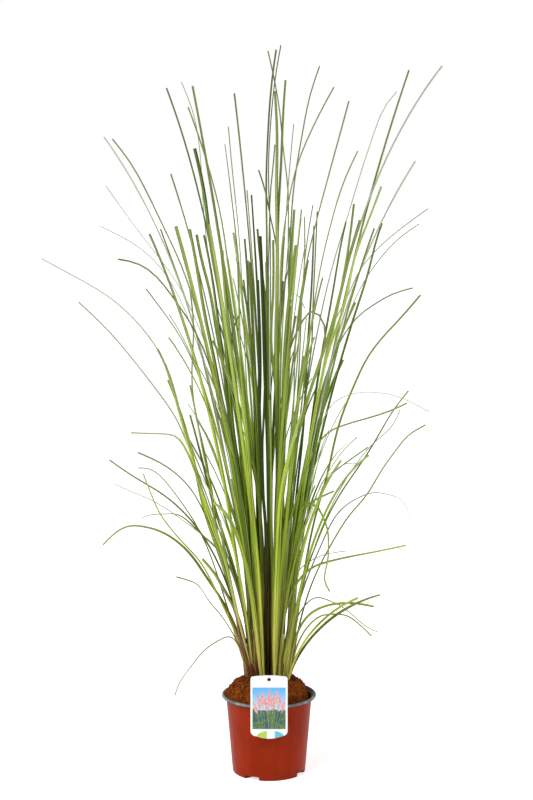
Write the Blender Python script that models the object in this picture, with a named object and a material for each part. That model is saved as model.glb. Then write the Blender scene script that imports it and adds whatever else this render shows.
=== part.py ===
"""Potted pampas grass: a nursery pot, the soil in it, a plant label and its main leaves.

Metres, +Z up. The origin is the centre of the pot's underside, on the floor, and the label
faces -Y. Each piece is one closed solid, and neighbours keep a gap of 0.3 mm.
"""

import math

import bmesh
import bpy
import numpy as np

MM = 0.001
GAP = 0.3 * MM

# Pot, thermoformed from one sheet
POT_HEIGHT = 160 * MM
RIM_RADIUS = 95 * MM
RIM_INNER_RADIUS = 89 * MM
RIM_HEIGHT = 6.5 * MM
WALL_TOP_RADIUS = 86 * MM
WALL_BASE_RADIUS = 73.5 * MM
RIM_ROLL = 1.6 * MM
WALL = 1.5 * MM
BASE_ROUND = 3 * MM
POT_SIDES = 56

# Drain notches in the pot's lower edge, turned from the front towards the right
NOTCH_TURNS = (-32, 58, 148, 238)
NOTCH_WIDTH = 31 * MM
NOTCH_HEIGHT = 6 * MM
NOTCH_DEPTH = 14 * MM

# Soil, mounded above the rim and flat where the clump stands
CROWN_HEIGHT = 186 * MM
CROWN_RADIUS = 50 * MM
SOIL_EDGE_HEIGHT = 152 * MM
SOIL_LUMP = 4.5 * MM
SOIL_SLOPE = 1.6

# Label: an upright card whose hook goes over the rim into the soil
CARD_WIDTH = 73 * MM
CARD_TOP = 221 * MM
CARD_BOTTOM = 100 * MM
CARD_THICK = 0.8 * MM
CARD_TOP_BULGE = 2 * MM
CARD_BOTTOM_BULGE = 5 * MM
CARD_TOP_CORNER = 6 * MM
CARD_BOTTOM_CORNER = 11 * MM
HOLE_RADIUS = 2.7 * MM
HOLE_BELOW_TOP = 6.5 * MM
HOLE_SIDES = 16
HOOK_WIDTH = 18 * MM
HOOK_REACH = 80.5 * MM
HOOK_END = 125 * MM

# Leaves: every blade lies in an upright plane through the pot's axis and leans out as it rises
RING_RADII = {"outer": 41 * MM, "middle": 31 * MM, "inner": 20 * MM, "heart": 9 * MM}
BLADE_RINGS = 14
FINE_STEPS = 20
BLADE_THICK = 1 * MM
FOLD = math.radians(35)
BASE_SHARE = 0.8
FULL_WIDTH_AT = 0.25
TIP_SHARE = 0.06
CUT_SHARE = 0.6
TAPER = 1.5
TURNED_AT_BASE = 0.5

# ring, turn from the right seen from above, reach and height of the tip in metres, bend in
# degrees, lateness of the bend, width in mm, twist in degrees, ending
LEAVES = (
    ("outer", 335, 0.192, 0.374, 50, 1.0, 13, 40, "cut"),
    ("outer", 350, 0.310, 0.712, 48, 2.0, 10.5, -55, "point"),
    ("outer", 8, 0.226, 0.354, 60, 0.9, 10.5, 50, "point"),
    ("outer", 25, 0.315, 0.756, 32, 1.0, 10.5, -70, "point"),
    ("outer", 42, 0.410, 0.462, 140, 1.9, 8, 40, "point"),
    ("outer", 62, 0.360, 0.620, 62, 2.2, 10.5, -40, "point"),
    ("outer", 80, 0.420, 0.800, 50, 2.0, 10.5, 55, "point"),
    ("outer", 98, 0.330, 0.500, 85, 2.0, 9, -50, "point"),
    ("outer", 116, 0.400, 0.700, 50, 1.8, 10.5, 65, "point"),
    ("outer", 134, 0.392, 0.464, 95, 1.9, 8, -40, "point"),
    ("outer", 152, 0.364, 0.557, 50, 1.6, 8, 40, "point"),
    ("outer", 170, 0.326, 0.626, 45, 2.2, 9, -65, "point"),
    ("outer", 187, 0.330, 0.471, 130, 2.8, 10.5, 50, "point"),
    ("outer", 204, 0.276, 0.667, 46, 2.5, 10.5, -55, "point"),
    ("outer", 226, 0.365, 0.727, 88, 5.0, 9, 40, "point"),
    ("outer", 236, 0.308, 0.456, 75, 1.3, 9, -50, "point"),
    ("outer", 250, 0.300, 0.600, 58, 2.0, 10.5, 55, "point"),
    ("outer", 284, 0.250, 0.760, 40, 2.0, 10.5, -40, "point"),
    ("outer", 300, 0.320, 0.720, 50, 2.0, 9, 50, "point"),
    ("outer", 316, 0.261, 0.673, 45, 2.5, 10.5, -65, "point"),
    ("middle", 1, 0.297, 0.962, 40, 2.2, 9, 85, "point"),
    ("middle", 33, 0.392, 1.126, 50, 3.8, 8, -85, "point"),
    ("middle", 53, 0.300, 0.930, 34, 2.0, 10.5, 70, "cut"),
    ("middle", 73, 0.260, 1.050, 25, 2.0, 10.5, -85, "cut"),
    ("middle", 90, 0.350, 0.980, 40, 2.5, 9, 75, "point"),
    ("middle", 108, 0.280, 1.020, 28, 2.2, 11.5, -70, "cut"),
    ("middle", 126, 0.360, 0.900, 42, 2.4, 9, 65, "point"),
    ("middle", 143, 0.318, 0.961, 40, 3.0, 8, 85, "point"),
    ("middle", 162, 0.487, 1.026, 64, 3.0, 8, -75, "point"),
    ("middle", 177, 0.297, 1.031, 70, 4.2, 10.5, 70, "point"),
    ("middle", 196, 0.378, 0.956, 40, 2.1, 8, -85, "point"),
    ("middle", 214, 0.270, 1.087, 18, 2.0, 8, 75, "point"),
    ("middle", 232, 0.300, 0.900, 36, 2.0, 10.5, -65, "cut"),
    ("middle", 252, 0.240, 0.900, 30, 2.0, 9, 70, "point"),
    ("middle", 293, 0.250, 1.010, 26, 2.2, 9, -75, "point"),
    ("middle", 307, 0.317, 1.100, 16, 2.0, 10.5, 85, "cut"),
    ("middle", 340, 0.326, 0.746, 88, 5.0, 8, -70, "point"),
    ("inner", 16, 0.357, 1.410, 32, 3.0, 9, 105, "point"),
    ("inner", 40, 0.377, 1.409, 14, 1.5, 10.5, -100, "point"),
    ("inner", 80, 0.300, 1.300, 22, 2.0, 9, 90, "point"),
    ("inner", 112, 0.243, 1.258, 14, 2.0, 9, -105, "point"),
    ("inner", 136, 0.280, 1.197, 18, 2.0, 9, 100, "point"),
    ("inner", 158, 0.358, 1.271, 30, 2.4, 9, -90, "point"),
    ("inner", 184, 0.198, 1.362, 16, 3.0, 8, 110, "point"),
    ("inner", 206, 0.198, 1.099, 11, 1.0, 14.5, -85, "cut"),
    ("inner", 242, 0.235, 1.107, 14, 1.1, 13, 75, "cut"),
    ("inner", 292, 0.160, 1.133, 14, 1.1, 11.5, -85, "cut"),
    ("inner", 315, 0.207, 1.335, 18, 2.0, 8, 100, "point"),
    ("inner", 346, 0.287, 1.222, 26, 2.4, 8, -105, "point"),
    ("heart", 15, 0.102, 1.407, 14, 2.5, 8, 120, "point"),
    ("heart", 75, 0.093, 1.449, 10, 1.2, 8, -110, "point"),
    ("heart", 135, 0.097, 1.355, 10, 1.2, 8, 105, "point"),
    ("heart", 200, 0.155, 1.364, 9, 1.0, 9, -120, "point"),
    ("heart", 255, 0.127, 1.159, 9, 1.0, 10.5, 85, "cut"),
    ("heart", 315, 0.050, 1.378, 4, 1.0, 9, -85, "cut"),
)

TERRACOTTA = (0.30, 0.055, 0.025)
COIR = (0.16, 0.06, 0.02)
CARD_WHITE = (0.80, 0.80, 0.78)
LEAF_GREENS = ((0.16, 0.26, 0.04), (0.10, 0.19, 0.03), (0.24, 0.30, 0.06))


def finish(name, colour, roughness):
    """A plain material: one colour and one roughness."""
    material = bpy.data.materials.new(name)
    material.use_nodes = True
    shader = material.node_tree.nodes["Principled BSDF"]
    shader.inputs["Base Color"].default_value = (*colour, 1.0)
    shader.inputs["Roughness"].default_value = roughness
    shader.inputs["Metallic"].default_value = 0.0
    return material


def add_object(name, bm, material=None, smooth_angle=None):
    """Turn a bmesh into an object of this name, with its faces pointing out."""
    bmesh.ops.recalc_face_normals(bm, faces=bm.faces)
    mesh = bpy.data.meshes.new(name)
    bm.to_mesh(mesh)
    bm.free()
    if smooth_angle is not None:
        mesh.shade_smooth()
        mesh.set_sharp_from_angle(angle=math.radians(smooth_angle))
    if material is not None:
        mesh.materials.append(material)
    obj = bpy.data.objects.new(name, mesh)
    bpy.context.scene.collection.objects.link(obj)
    return obj


def add_cutter(name, bm):
    """A hidden object that only cuts or joins another."""
    cutter = add_object(name, bm)
    cutter.hide_render = True
    cutter.display_type = "WIRE"
    return cutter


def boolean(obj, other, operation):
    modifier = obj.modifiers.new(other.name, "BOOLEAN")
    modifier.operation = operation
    modifier.object = other
    modifier.solver = "EXACT"


def box(low, high):
    """A box between two corners."""
    bm = bmesh.new()
    bmesh.ops.create_cube(bm, size=1.0)
    for vert in bm.verts:
        for axis in range(3):
            middle = (low[axis] + high[axis]) / 2
            vert.co[axis] = middle + vert.co[axis] * (high[axis] - low[axis])
    return bm


def turned(profile, sides):
    """Spin a profile of (radius, height) points, which starts and ends on the axis."""
    bm = bmesh.new()
    verts = [bm.verts.new((radius, 0, height)) for radius, height in profile]
    edges = [bm.edges.new(pair) for pair in zip(verts, verts[1:])]
    bmesh.ops.spin(
        bm, geom=verts + edges, axis=(0, 0, 1), cent=(0, 0, 0), angle=math.tau, steps=sides
    )
    bmesh.ops.remove_doubles(bm, verts=bm.verts, dist=0.01 * MM)
    return bm


def loft(rings):
    """Join rings of points, in order, into one closed skin with flat ends."""
    bm = bmesh.new()
    loops = [[bm.verts.new(point) for point in ring] for ring in rings]
    count = len(loops[0])
    for lower, upper in zip(loops, loops[1:]):
        for i in range(count):
            j = (i + 1) % count
            bm.faces.new((lower[i], lower[j], upper[j], upper[i]))
    bm.faces.new(loops[0])
    bm.faces.new(loops[-1])
    return bm


def wall_radius(height):
    """Outer radius of the pot's straight wall at a height."""
    share = (height - BASE_ROUND) / (POT_HEIGHT - RIM_HEIGHT - BASE_ROUND)
    return WALL_BASE_RADIUS + share * (WALL_TOP_RADIUS - WALL_BASE_RADIUS)


def pot_profile():
    """The wall's outside, the rolled rim and the inside, from the underside to the inner floor."""
    under_rim = POT_HEIGHT - RIM_HEIGHT
    corner = [
        (
            WALL_BASE_RADIUS - BASE_ROUND + BASE_ROUND * math.sin(angle),
            BASE_ROUND - BASE_ROUND * math.cos(angle),
        )
        for angle in (0.0, math.pi / 4, math.pi / 2)
    ]
    rim = [
        (WALL_TOP_RADIUS, under_rim),
        (WALL_TOP_RADIUS + 2 * RIM_ROLL, under_rim + RIM_ROLL / 2),
        (RIM_RADIUS - RIM_ROLL / 2, under_rim),
        (RIM_RADIUS, under_rim + RIM_ROLL),
        (RIM_RADIUS, POT_HEIGHT - RIM_ROLL),
        (RIM_RADIUS - RIM_ROLL, POT_HEIGHT),
        (RIM_INNER_RADIUS + RIM_ROLL, POT_HEIGHT),
        (RIM_INNER_RADIUS, POT_HEIGHT - RIM_ROLL),
    ]
    inside = [
        (WALL_TOP_RADIUS - WALL, under_rim),
        (WALL_BASE_RADIUS - WALL, BASE_ROUND),
        (WALL_BASE_RADIUS - BASE_ROUND, WALL),
        (0.0, WALL),
    ]
    return [(0.0, 0.0)] + corner + rim + inside


def make_pot():
    """One shell with a flat underside, and drain notches cut in its lower edge."""
    pot = add_object(
        "pot", turned(pot_profile(), POT_SIDES), finish("pot_plastic", TERRACOTTA, 0.35), 40
    )
    for number, turn in enumerate(NOTCH_TURNS, 1):
        low = (-NOTCH_WIDTH / 2, -WALL_BASE_RADIUS - NOTCH_DEPTH / 2, -NOTCH_HEIGHT)
        high = (NOTCH_WIDTH / 2, -WALL_BASE_RADIUS + NOTCH_DEPTH / 2, NOTCH_HEIGHT)
        cutter = add_cutter(f"notch_{number}", box(low, high))
        cutter.rotation_euler.z = math.radians(turn)
        boolean(pot, cutter, "DIFFERENCE")


def soil_height(radius, turn):
    """Flat crown, then a slope to the wall with lumps that fade out at both ends."""
    edge = WALL_TOP_RADIUS - WALL - GAP
    share = min(max((radius - CROWN_RADIUS) / (edge - CROWN_RADIUS), 0.0), 1.0)
    slope = CROWN_HEIGHT + (SOIL_EDGE_HEIGHT - CROWN_HEIGHT) * share ** SOIL_SLOPE
    lumps = 0.5 * math.sin(5 * turn + 1.0) + 0.3 * math.sin(9 * turn + 9 * share)
    lumps += 0.2 * math.sin(14 * turn - 6 * share)
    return slope + SOIL_LUMP * lumps * math.sin(math.pi * share)


def make_soil():
    """Fills the pot inside its wall, and rises above the rim in a rough mound."""
    edge = WALL_TOP_RADIUS - WALL - GAP
    turns = [math.tau * i / POT_SIDES for i in range(POT_SIDES)]
    side = [
        (WALL_BASE_RADIUS - BASE_ROUND - GAP, WALL + GAP),
        (wall_radius(BASE_ROUND) - WALL - GAP, BASE_ROUND + GAP),
        (wall_radius(SOIL_EDGE_HEIGHT) - WALL - GAP, SOIL_EDGE_HEIGHT),
    ]
    rings = [
        [(radius * math.cos(turn), radius * math.sin(turn), height) for turn in turns]
        for radius, height in side
    ]
    for share in (0.8, 0.6, 0.4, 0.2, 0.0):
        radius = CROWN_RADIUS + share * (edge - CROWN_RADIUS)
        rings.append(
            [
                (radius * math.cos(turn), radius * math.sin(turn), soil_height(radius, turn))
                for turn in turns
            ]
        )
    soil = add_object("soil", loft(rings), finish("coir", COIR, 0.95))
    half = HOOK_WIDTH / 2 + GAP
    slot = box(
        (-half, -RIM_INNER_RADIUS, HOOK_END - GAP),
        (half, -HOOK_REACH + CARD_THICK + GAP, CROWN_HEIGHT),
    )
    boolean(soil, add_cutter("hook_slot", slot), "DIFFERENCE")


def corner_arc(centre_x, centre_z, radius, start, points=5):
    """A quarter circle, in degrees from +X, that rounds one corner of the card."""
    angles = np.radians(np.linspace(start, start + 90, points))
    return [(centre_x + radius * math.cos(a), centre_z + radius * math.sin(a)) for a in angles]


def card_outline():
    """Round corners, a slightly bowed top and a more bowed bottom, anticlockwise."""
    half = CARD_WIDTH / 2
    top_x = half - CARD_TOP_CORNER
    bottom_x = half - CARD_BOTTOM_CORNER
    top_z = CARD_TOP - CARD_TOP_CORNER
    bottom_z = CARD_BOTTOM + CARD_BOTTOM_CORNER
    top_bow = [
        (x * top_x, CARD_TOP + CARD_TOP_BULGE * (1 - x * x)) for x in (0.67, 0.33, 0, -0.33, -0.67)
    ]
    bottom_bow = [
        (x * bottom_x, CARD_BOTTOM - CARD_BOTTOM_BULGE * (1 - x * x))
        for x in (-0.67, -0.33, 0, 0.33, 0.67)
    ]
    return (
        corner_arc(top_x, top_z, CARD_TOP_CORNER, 0)
        + top_bow
        + corner_arc(-top_x, top_z, CARD_TOP_CORNER, 90)
        + corner_arc(-bottom_x, bottom_z, CARD_BOTTOM_CORNER, 180)
        + bottom_bow
        + corner_arc(bottom_x, bottom_z, CARD_BOTTOM_CORNER, 270)
    )


def make_label():
    """A thin card in front of the rim, joined to the hook that holds it."""
    back = -RIM_RADIUS - GAP
    front = back - CARD_THICK
    outline = card_outline()
    rings = [[(x, y, z) for x, z in outline] for y in (front, back)]
    label = add_object("plant_label", loft(rings), finish("card", CARD_WHITE, 0.3))

    hole = bmesh.new()
    bmesh.ops.create_cone(
        hole, cap_ends=True, segments=HOLE_SIDES, radius1=HOLE_RADIUS, radius2=HOLE_RADIUS, depth=10 * MM
    )
    cutter = add_cutter("label_hole", hole)
    cutter.rotation_euler.x = math.pi / 2
    cutter.location = (0, back, CARD_TOP - HOLE_BELOW_TOP)
    boolean(label, cutter, "DIFFERENCE")

    over_rim = POT_HEIGHT + GAP
    inner = -HOOK_REACH + CARD_THICK
    hook_outline = [
        (back - CARD_THICK / 2, over_rim),
        (-HOOK_REACH, over_rim),
        (-HOOK_REACH, HOOK_END),
        (inner, HOOK_END),
        (inner, over_rim + CARD_THICK),
        (back - CARD_THICK / 2, over_rim + CARD_THICK),
    ]
    rings = [[(x, y, z) for y, z in hook_outline] for x in (-HOOK_WIDTH / 2, HOOK_WIDTH / 2)]
    boolean(label, add_cutter("hook", loft(rings)), "UNION")


def blade_curve(start, tip, bend, lateness, count):
    """Points (radius, height) and leans of a blade whose lean grows from base to tip.

    The lean from upright is first + bend * share ** lateness, where share is the part of the
    length passed. The curve is worked out at unit length, then turned and scaled to end at the
    tip, and the turn is its first lean.
    """
    fine = np.linspace(0.0, 1.0, FINE_STEPS * (count - 1) + 1)
    lean = np.radians(bend) * fine ** lateness
    step = fine[1]
    across = np.concatenate(([0.0], np.cumsum((np.sin(lean[1:]) + np.sin(lean[:-1])) * step / 2)))
    up = np.concatenate(([0.0], np.cumsum((np.cos(lean[1:]) + np.cos(lean[:-1])) * step / 2)))
    run = tip[0] - start[0]
    rise = tip[1] - start[1]
    first = math.atan2(run, rise) - math.atan2(across[-1], up[-1])
    scale = math.hypot(run, rise) / math.hypot(across[-1], up[-1])
    radius = start[0] + scale * (across * math.cos(first) + up * math.sin(first))
    height = start[1] + scale * (up * math.cos(first) - across * math.sin(first))
    return radius[::FINE_STEPS], height[::FINE_STEPS], (lean + first)[::FINE_STEPS]


def blade_width(share, ending):
    """Share of the full width: widens above the base, then narrows to its end."""
    if share < FULL_WIDTH_AT:
        return BASE_SHARE + (1 - BASE_SHARE) * share / FULL_WIDTH_AT
    last = CUT_SHARE if ending == "cut" else TIP_SHARE
    passed = (share - FULL_WIDTH_AT) / (1 - FULL_WIDTH_AT)
    return 1 - (1 - last) * passed ** TAPER


def blade_rings(ring, turn, reach, height, bend, lateness, width, twist, ending):
    """Four-cornered V sections along the blade: left edge, top of fold, right edge, underside."""
    start = (RING_RADII[ring], CROWN_HEIGHT + GAP)
    radii, heights, leans = blade_curve(start, (reach, height), bend, lateness, BLADE_RINGS)
    angle = math.radians(turn)
    outward = np.array((math.cos(angle), math.sin(angle), 0.0))
    sideways = np.array((-math.sin(angle), math.cos(angle), 0.0))
    upward = np.array((0.0, 0.0, 1.0))
    rings = []
    for i in range(BLADE_RINGS):
        share = i / (BLADE_RINGS - 1)
        lean = leans[i] if i else 0.0
        roll = math.radians(twist) * (TURNED_AT_BASE + (1 - TURNED_AT_BASE) * share)
        inward = upward * math.sin(lean) - outward * math.cos(lean)
        across = sideways * math.cos(roll) + inward * math.sin(roll)
        above = inward * math.cos(roll) - sideways * math.sin(roll)
        half = width * MM / 2 * blade_width(share, ending)
        thick = min(BLADE_THICK / 2, half / 2)
        middle = outward * radii[i] + upward * heights[i]
        raised = above * half * math.sin(FOLD)
        spread = across * half * math.cos(FOLD)
        rings.append(
            [
                middle - spread + raised,
                middle + above * thick,
                middle + spread + raised,
                middle - above * thick,
            ]
        )
    return rings


def make_leaves():
    """One closed blade for each row."""
    for number, row in enumerate(LEAVES, 1):
        colour = LEAF_GREENS[number % len(LEAF_GREENS)]
        name = f"leaf_{number:02d}"
        add_object(name, loft(blade_rings(*row)), finish(f"{name}_green", colour, 0.5))


for old in list(bpy.data.objects):
    bpy.data.objects.remove(old, do_unlink=True)
make_pot()
make_soil()
make_label()
make_leaves()
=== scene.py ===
# %% [markdown]
# # Potted pampas grass
# A tall clump of grass blades stands in a mound of coir in a round nursery pot, with a plant label
# in front of the rim. The CAD model gives every main piece its place and size. This script gives
# them their looks, and adds the finer blades, the crumbs and the fibres. Lengths are in metres.

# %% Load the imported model
import itertools
import math

import bpy
import numpy as np
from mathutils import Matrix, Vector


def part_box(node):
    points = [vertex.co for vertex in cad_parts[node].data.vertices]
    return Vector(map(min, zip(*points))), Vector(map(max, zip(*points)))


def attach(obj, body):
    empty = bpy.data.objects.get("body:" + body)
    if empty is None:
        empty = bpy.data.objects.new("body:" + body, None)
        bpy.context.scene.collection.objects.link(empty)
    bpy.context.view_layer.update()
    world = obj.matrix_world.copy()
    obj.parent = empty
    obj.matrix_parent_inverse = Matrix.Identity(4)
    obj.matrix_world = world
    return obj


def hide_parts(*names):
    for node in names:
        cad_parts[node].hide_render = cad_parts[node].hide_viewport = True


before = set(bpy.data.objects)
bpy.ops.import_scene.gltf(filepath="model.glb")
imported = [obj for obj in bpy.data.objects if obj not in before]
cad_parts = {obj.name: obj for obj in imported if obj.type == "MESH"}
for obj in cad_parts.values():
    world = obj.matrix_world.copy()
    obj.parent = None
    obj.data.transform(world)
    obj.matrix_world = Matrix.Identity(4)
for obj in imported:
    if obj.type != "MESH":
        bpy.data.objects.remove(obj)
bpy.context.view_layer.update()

BODY = "root"
MM = 0.001
pot_low, pot_high = (np.array(corner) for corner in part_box("pot"))
card_low, card_high = (np.array(corner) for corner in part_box("plant_label"))
RIM_RADIUS = pot_high[0]
POT_HEIGHT = pot_high[2]
print("pot", RIM_RADIUS, POT_HEIGHT, "label", card_low, card_high)

# %% [markdown]
# ## From the photograph to the model
# Many blades are traced: a few places on each were read in the photograph, in its 533 by 800
# pixels. A pixel is only a direction from the camera, so each place also needs a depth. The ray
# through the pixel is followed until it reaches that depth. The camera of the render is the same
# one, so a traced blade lands where it was read, and its depth shows from the other sides.

# %% The camera's place, and rays through its pixels
PHOTO_WIDTH, PHOTO_HEIGHT = 533, 800
CAMERA_PLACE = np.array((-0.005, -3.6, 1.21))
CAMERA_PITCH = math.radians(7.21)
FOCAL_PIXELS = 1838.0
SENSOR = 36.0


def on_ray(px, py, depth):
    """World points where the rays through pixels reach y = depth.

    A ray starts at the camera and goes forward by 1, right by (px - half width) / focal length
    and up by (half height - py) / focal length, with forward and up turned down by the pitch.
    """
    right = (px - PHOTO_WIDTH / 2) / FOCAL_PIXELS
    up = (PHOTO_HEIGHT / 2 - py) / FOCAL_PIXELS
    along_y = math.cos(CAMERA_PITCH) + up * math.sin(CAMERA_PITCH)
    along_z = up * math.cos(CAMERA_PITCH) - math.sin(CAMERA_PITCH)
    reach = (depth - CAMERA_PLACE[1]) / along_y
    x = CAMERA_PLACE[0] + right * reach
    z = CAMERA_PLACE[2] + along_z * reach
    return np.stack((x, depth + 0 * x, z), axis=-1)


def seen_at(points):
    """The inverse of on_ray: right and up are the shares of the way forward, as pixels."""
    away = points - CAMERA_PLACE
    forward = away[..., 1] * math.cos(CAMERA_PITCH) - away[..., 2] * math.sin(CAMERA_PITCH)
    up = away[..., 1] * math.sin(CAMERA_PITCH) + away[..., 2] * math.cos(CAMERA_PITCH)
    across = PHOTO_WIDTH / 2 + FOCAL_PIXELS * away[..., 0] / forward
    return across, PHOTO_HEIGHT / 2 - FOCAL_PIXELS * up / forward


def new_object(name, data):
    obj = bpy.data.objects.new(name, data)
    bpy.context.scene.collection.objects.link(obj)
    return obj


camera = new_object("camera", bpy.data.cameras.new("camera"))
camera.data.sensor_width = SENSOR
camera.data.lens = FOCAL_PIXELS * SENSOR / PHOTO_HEIGHT
camera.location = CAMERA_PLACE
camera.rotation_euler = (math.pi / 2 - CAMERA_PITCH, 0, 0)
bpy.context.scene.camera = camera
print("lens", round(camera.data.lens, 2), "mm; pot rim's right edge at", on_ray(316.0, 693.0, 0.0))

# %% [markdown]
# ## Meshes from arrays
# Every piece here is an array of points and arrays of faces, so one helper turns arrays into a
# mesh. Blender could also be given its own primitives and modifiers, but an array keeps the whole
# shape in one formula. The helper measures the volume that the faces enclose: it is positive only
# when they point outwards.


def signed_volume(points, face_groups):
    """A sixth of the sum of a . (b x c) over the triangles (a, b, c) of every face."""
    total = 0.0
    for faces in face_groups:
        first = points[faces[:, 0]]
        for corner in range(1, faces.shape[1] - 1):
            second, third = points[faces[:, corner]], points[faces[:, corner + 1]]
            total += np.einsum("ij,ij->", first, np.cross(second, third))
    return total / 6


def add_mesh(name, points, face_groups, materials, slots=None, uv=None, blade=None, sharp=40):
    """Make one object at the origin from points (n, 3) and arrays of faces (m, corners).

    slots has the number of each array's material, uv and blade have a row for each point, and
    edges that turn by more than sharp degrees are shaded as edges.
    """
    points = np.asarray(points, dtype=np.float64).reshape(-1, 3)
    corners = np.concatenate([faces.ravel() for faces in face_groups]).astype(np.int32)
    sizes = np.concatenate([np.full(len(faces), faces.shape[1]) for faces in face_groups])
    starts = np.concatenate(((0,), np.cumsum(sizes)[:-1])).astype(np.int32)
    mesh = bpy.data.meshes.new(name)
    mesh.vertices.add(len(points))
    mesh.vertices.foreach_set("co", points.astype(np.float32).ravel())
    mesh.loops.add(len(corners))
    mesh.loops.foreach_set("vertex_index", corners)
    mesh.polygons.add(len(sizes))
    mesh.polygons.foreach_set("loop_start", starts)
    if slots is not None:
        chosen = np.concatenate([np.full(len(f), s) for f, s in zip(face_groups, slots)])
        mesh.polygons.foreach_set("material_index", chosen.astype(np.int32))
    mesh.update(calc_edges=True)
    if uv is not None:
        layer = mesh.uv_layers.new(name="UVMap")
        layer.data.foreach_set("uv", np.asarray(uv, dtype=np.float32)[corners].ravel())
    if blade is not None:
        attribute = mesh.attributes.new("blade", "FLOAT_COLOR", "POINT")
        attribute.data.foreach_set("color", np.asarray(blade, dtype=np.float32).ravel())
    mesh.shade_smooth()
    mesh.set_sharp_from_angle(angle=math.radians(sharp))
    for material in materials:
        mesh.materials.append(material)
    volume = signed_volume(points, face_groups)
    if volume <= 0:
        print("INSIDE OUT", name, volume)
    return new_object(name, mesh)


def place_piece(obj, slot_name, *nodes):
    """Let a piece ride on the body and stand for its CAD nodes, which are hidden; slot_name is not used."""
    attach(obj, BODY)
    if nodes:
        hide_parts(*nodes)


def ring_quads(rows, columns):
    """Quads between neighbouring rows of a grid whose columns close on themselves."""
    row = np.arange(rows - 1)[:, None] * columns
    here = np.arange(columns)[None, :]
    following = (here + 1) % columns
    quads = (row + here, row + following, row + columns + following, row + columns + here)
    return np.stack(quads, axis=-1).reshape(-1, 4)


def passed_along(points):
    """The length from the first of some points to each, in straight steps."""
    return np.concatenate(((0,), np.cumsum(np.linalg.norm(np.diff(points, axis=0), axis=1))))


def closed_turn(rows):
    """Close a stack of rings (rows, columns, 3) with a pole in the middle of the first and last."""
    count, columns = rows.shape[:2]
    poles = np.stack((rows[0].mean(axis=0), rows[-1].mean(axis=0)))
    points = np.concatenate((rows.reshape(-1, 3), poles))
    here = np.arange(columns)
    following = (here + 1) % columns
    top = (count - 1) * columns
    first = np.stack((here * 0 + count * columns, following, here), axis=-1)
    last = np.stack((here * 0 + count * columns + 1, top + here, top + following), axis=-1)
    return points, [ring_quads(count, columns), np.concatenate((first, last))]


print("helpers ready")

# %% [markdown]
# ## Shader nodes in a few words
# A Blender material is a graph of nodes. Adding each node by hand takes many lines, so a small
# class holds a node's output: a sign between two of them adds the Math node that reckons it, and
# its methods add smooth steps and blends. Colours are given as they look on a screen, from 0 to
# 255, and are made linear, because the shader reckons in linear light.

# %% Helpers for materials
def srgb(red, green, blue):
    """Linear colour of a screen colour: ((c + 0.055) / 1.055) ** 2.4 above the dark end."""
    shares = np.array((red, green, blue)) / 255
    linear = np.where(shares > 0.04045, ((shares + 0.055) / 1.055) ** 2.4, shares / 12.92)
    return (*linear.tolist(), 1.0)


class Value:
    """The output of a node."""

    def __init__(self, socket):
        self.socket = socket
        self.tree = socket.id_data

    def math(self, operation, other=0.0):
        return Value(node(self.tree, "Math", {0: self, 1: other}, operation=operation).outputs[0])

    def __add__(self, other):
        return self.math("ADD", other)

    def __sub__(self, other):
        return self.math("SUBTRACT", other)

    def __mul__(self, other):
        return self.math("MULTIPLY", other)

    def __truediv__(self, other):
        return self.math("DIVIDE", other)

    def __pow__(self, other):
        return self.math("POWER", other)

    def __abs__(self):
        return self.math("ABSOLUTE")

    def step(self, low, high, to_low=0.0, to_high=1.0):
        """Smooth step, which gives to_low at low and to_high at high."""
        span = {"Value": self, "From Min": low, "From Max": high, "To Min": to_low, "To Max": to_high}
        made = node(self.tree, "MapRange", span, interpolation_type="SMOOTHSTEP")
        return Value(made.outputs["Result"])

    def mix(self, first, second):
        """Blend of two colours: the first where this value is 0, the second where it is 1."""
        return Value(node(self.tree, "Mix", {0: self, 6: first, 7: second}, data_type="RGBA").outputs[2])

    def split(self):
        """The three coordinates of a vector."""
        return [Value(part) for part in node(self.tree, "SeparateXYZ", {"Vector": self}).outputs]

    def noise(self, scale, detail=3.0, roughness=0.55, stretch=(1.0, 1.0, 1.0)):
        """Cloudy pattern from nothing to one over this vector, stretched along the axes."""
        placed = Value(node(self.tree, "Mapping", {"Vector": self, "Scale": stretch}).outputs[0])
        look = {"Vector": placed, "Scale": scale, "Detail": detail, "Roughness": roughness}
        return Value(node(self.tree, "TexNoise", look).outputs[0])


def fill(socket, value):
    """Link a socket to another node's output, or set its plain value."""
    if isinstance(value, Value):
        value.tree.links.new(value.socket, socket)
    else:
        socket.default_value = value


def node(tree, kind, inputs=None, **settings):
    """Add a node with its settings, and fill its inputs."""
    made = tree.nodes.new("ShaderNode" + kind)
    for key, value in settings.items():
        setattr(made, key, value)
    for key, value in (inputs or {}).items():
        fill(made.inputs[key], value)
    return made


def new_material(name, roughness, specular=0.5):
    """A material with its shader and its Object coordinates."""
    material = bpy.data.materials.new(name)
    material.use_nodes = True
    shader = material.node_tree.nodes["Principled BSDF"]
    fill(shader.inputs["Roughness"], roughness)
    fill(shader.inputs["Specular IOR Level"], specular)
    return material, shader, Value(node(material.node_tree, "TexCoord").outputs["Object"])


def paint(shader, colour, height, strength, distance):
    """Give a shader its colour and its bumps."""
    fill(shader.inputs["Base Color"], colour)
    bumps = {"Height": height, "Strength": strength, "Distance": distance}
    fill(shader.inputs["Normal"], Value(node(height.tree, "Bump", bumps).outputs[0]))


print("leaf green is", [round(c, 3) for c in srgb(120, 150, 50)])
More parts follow.
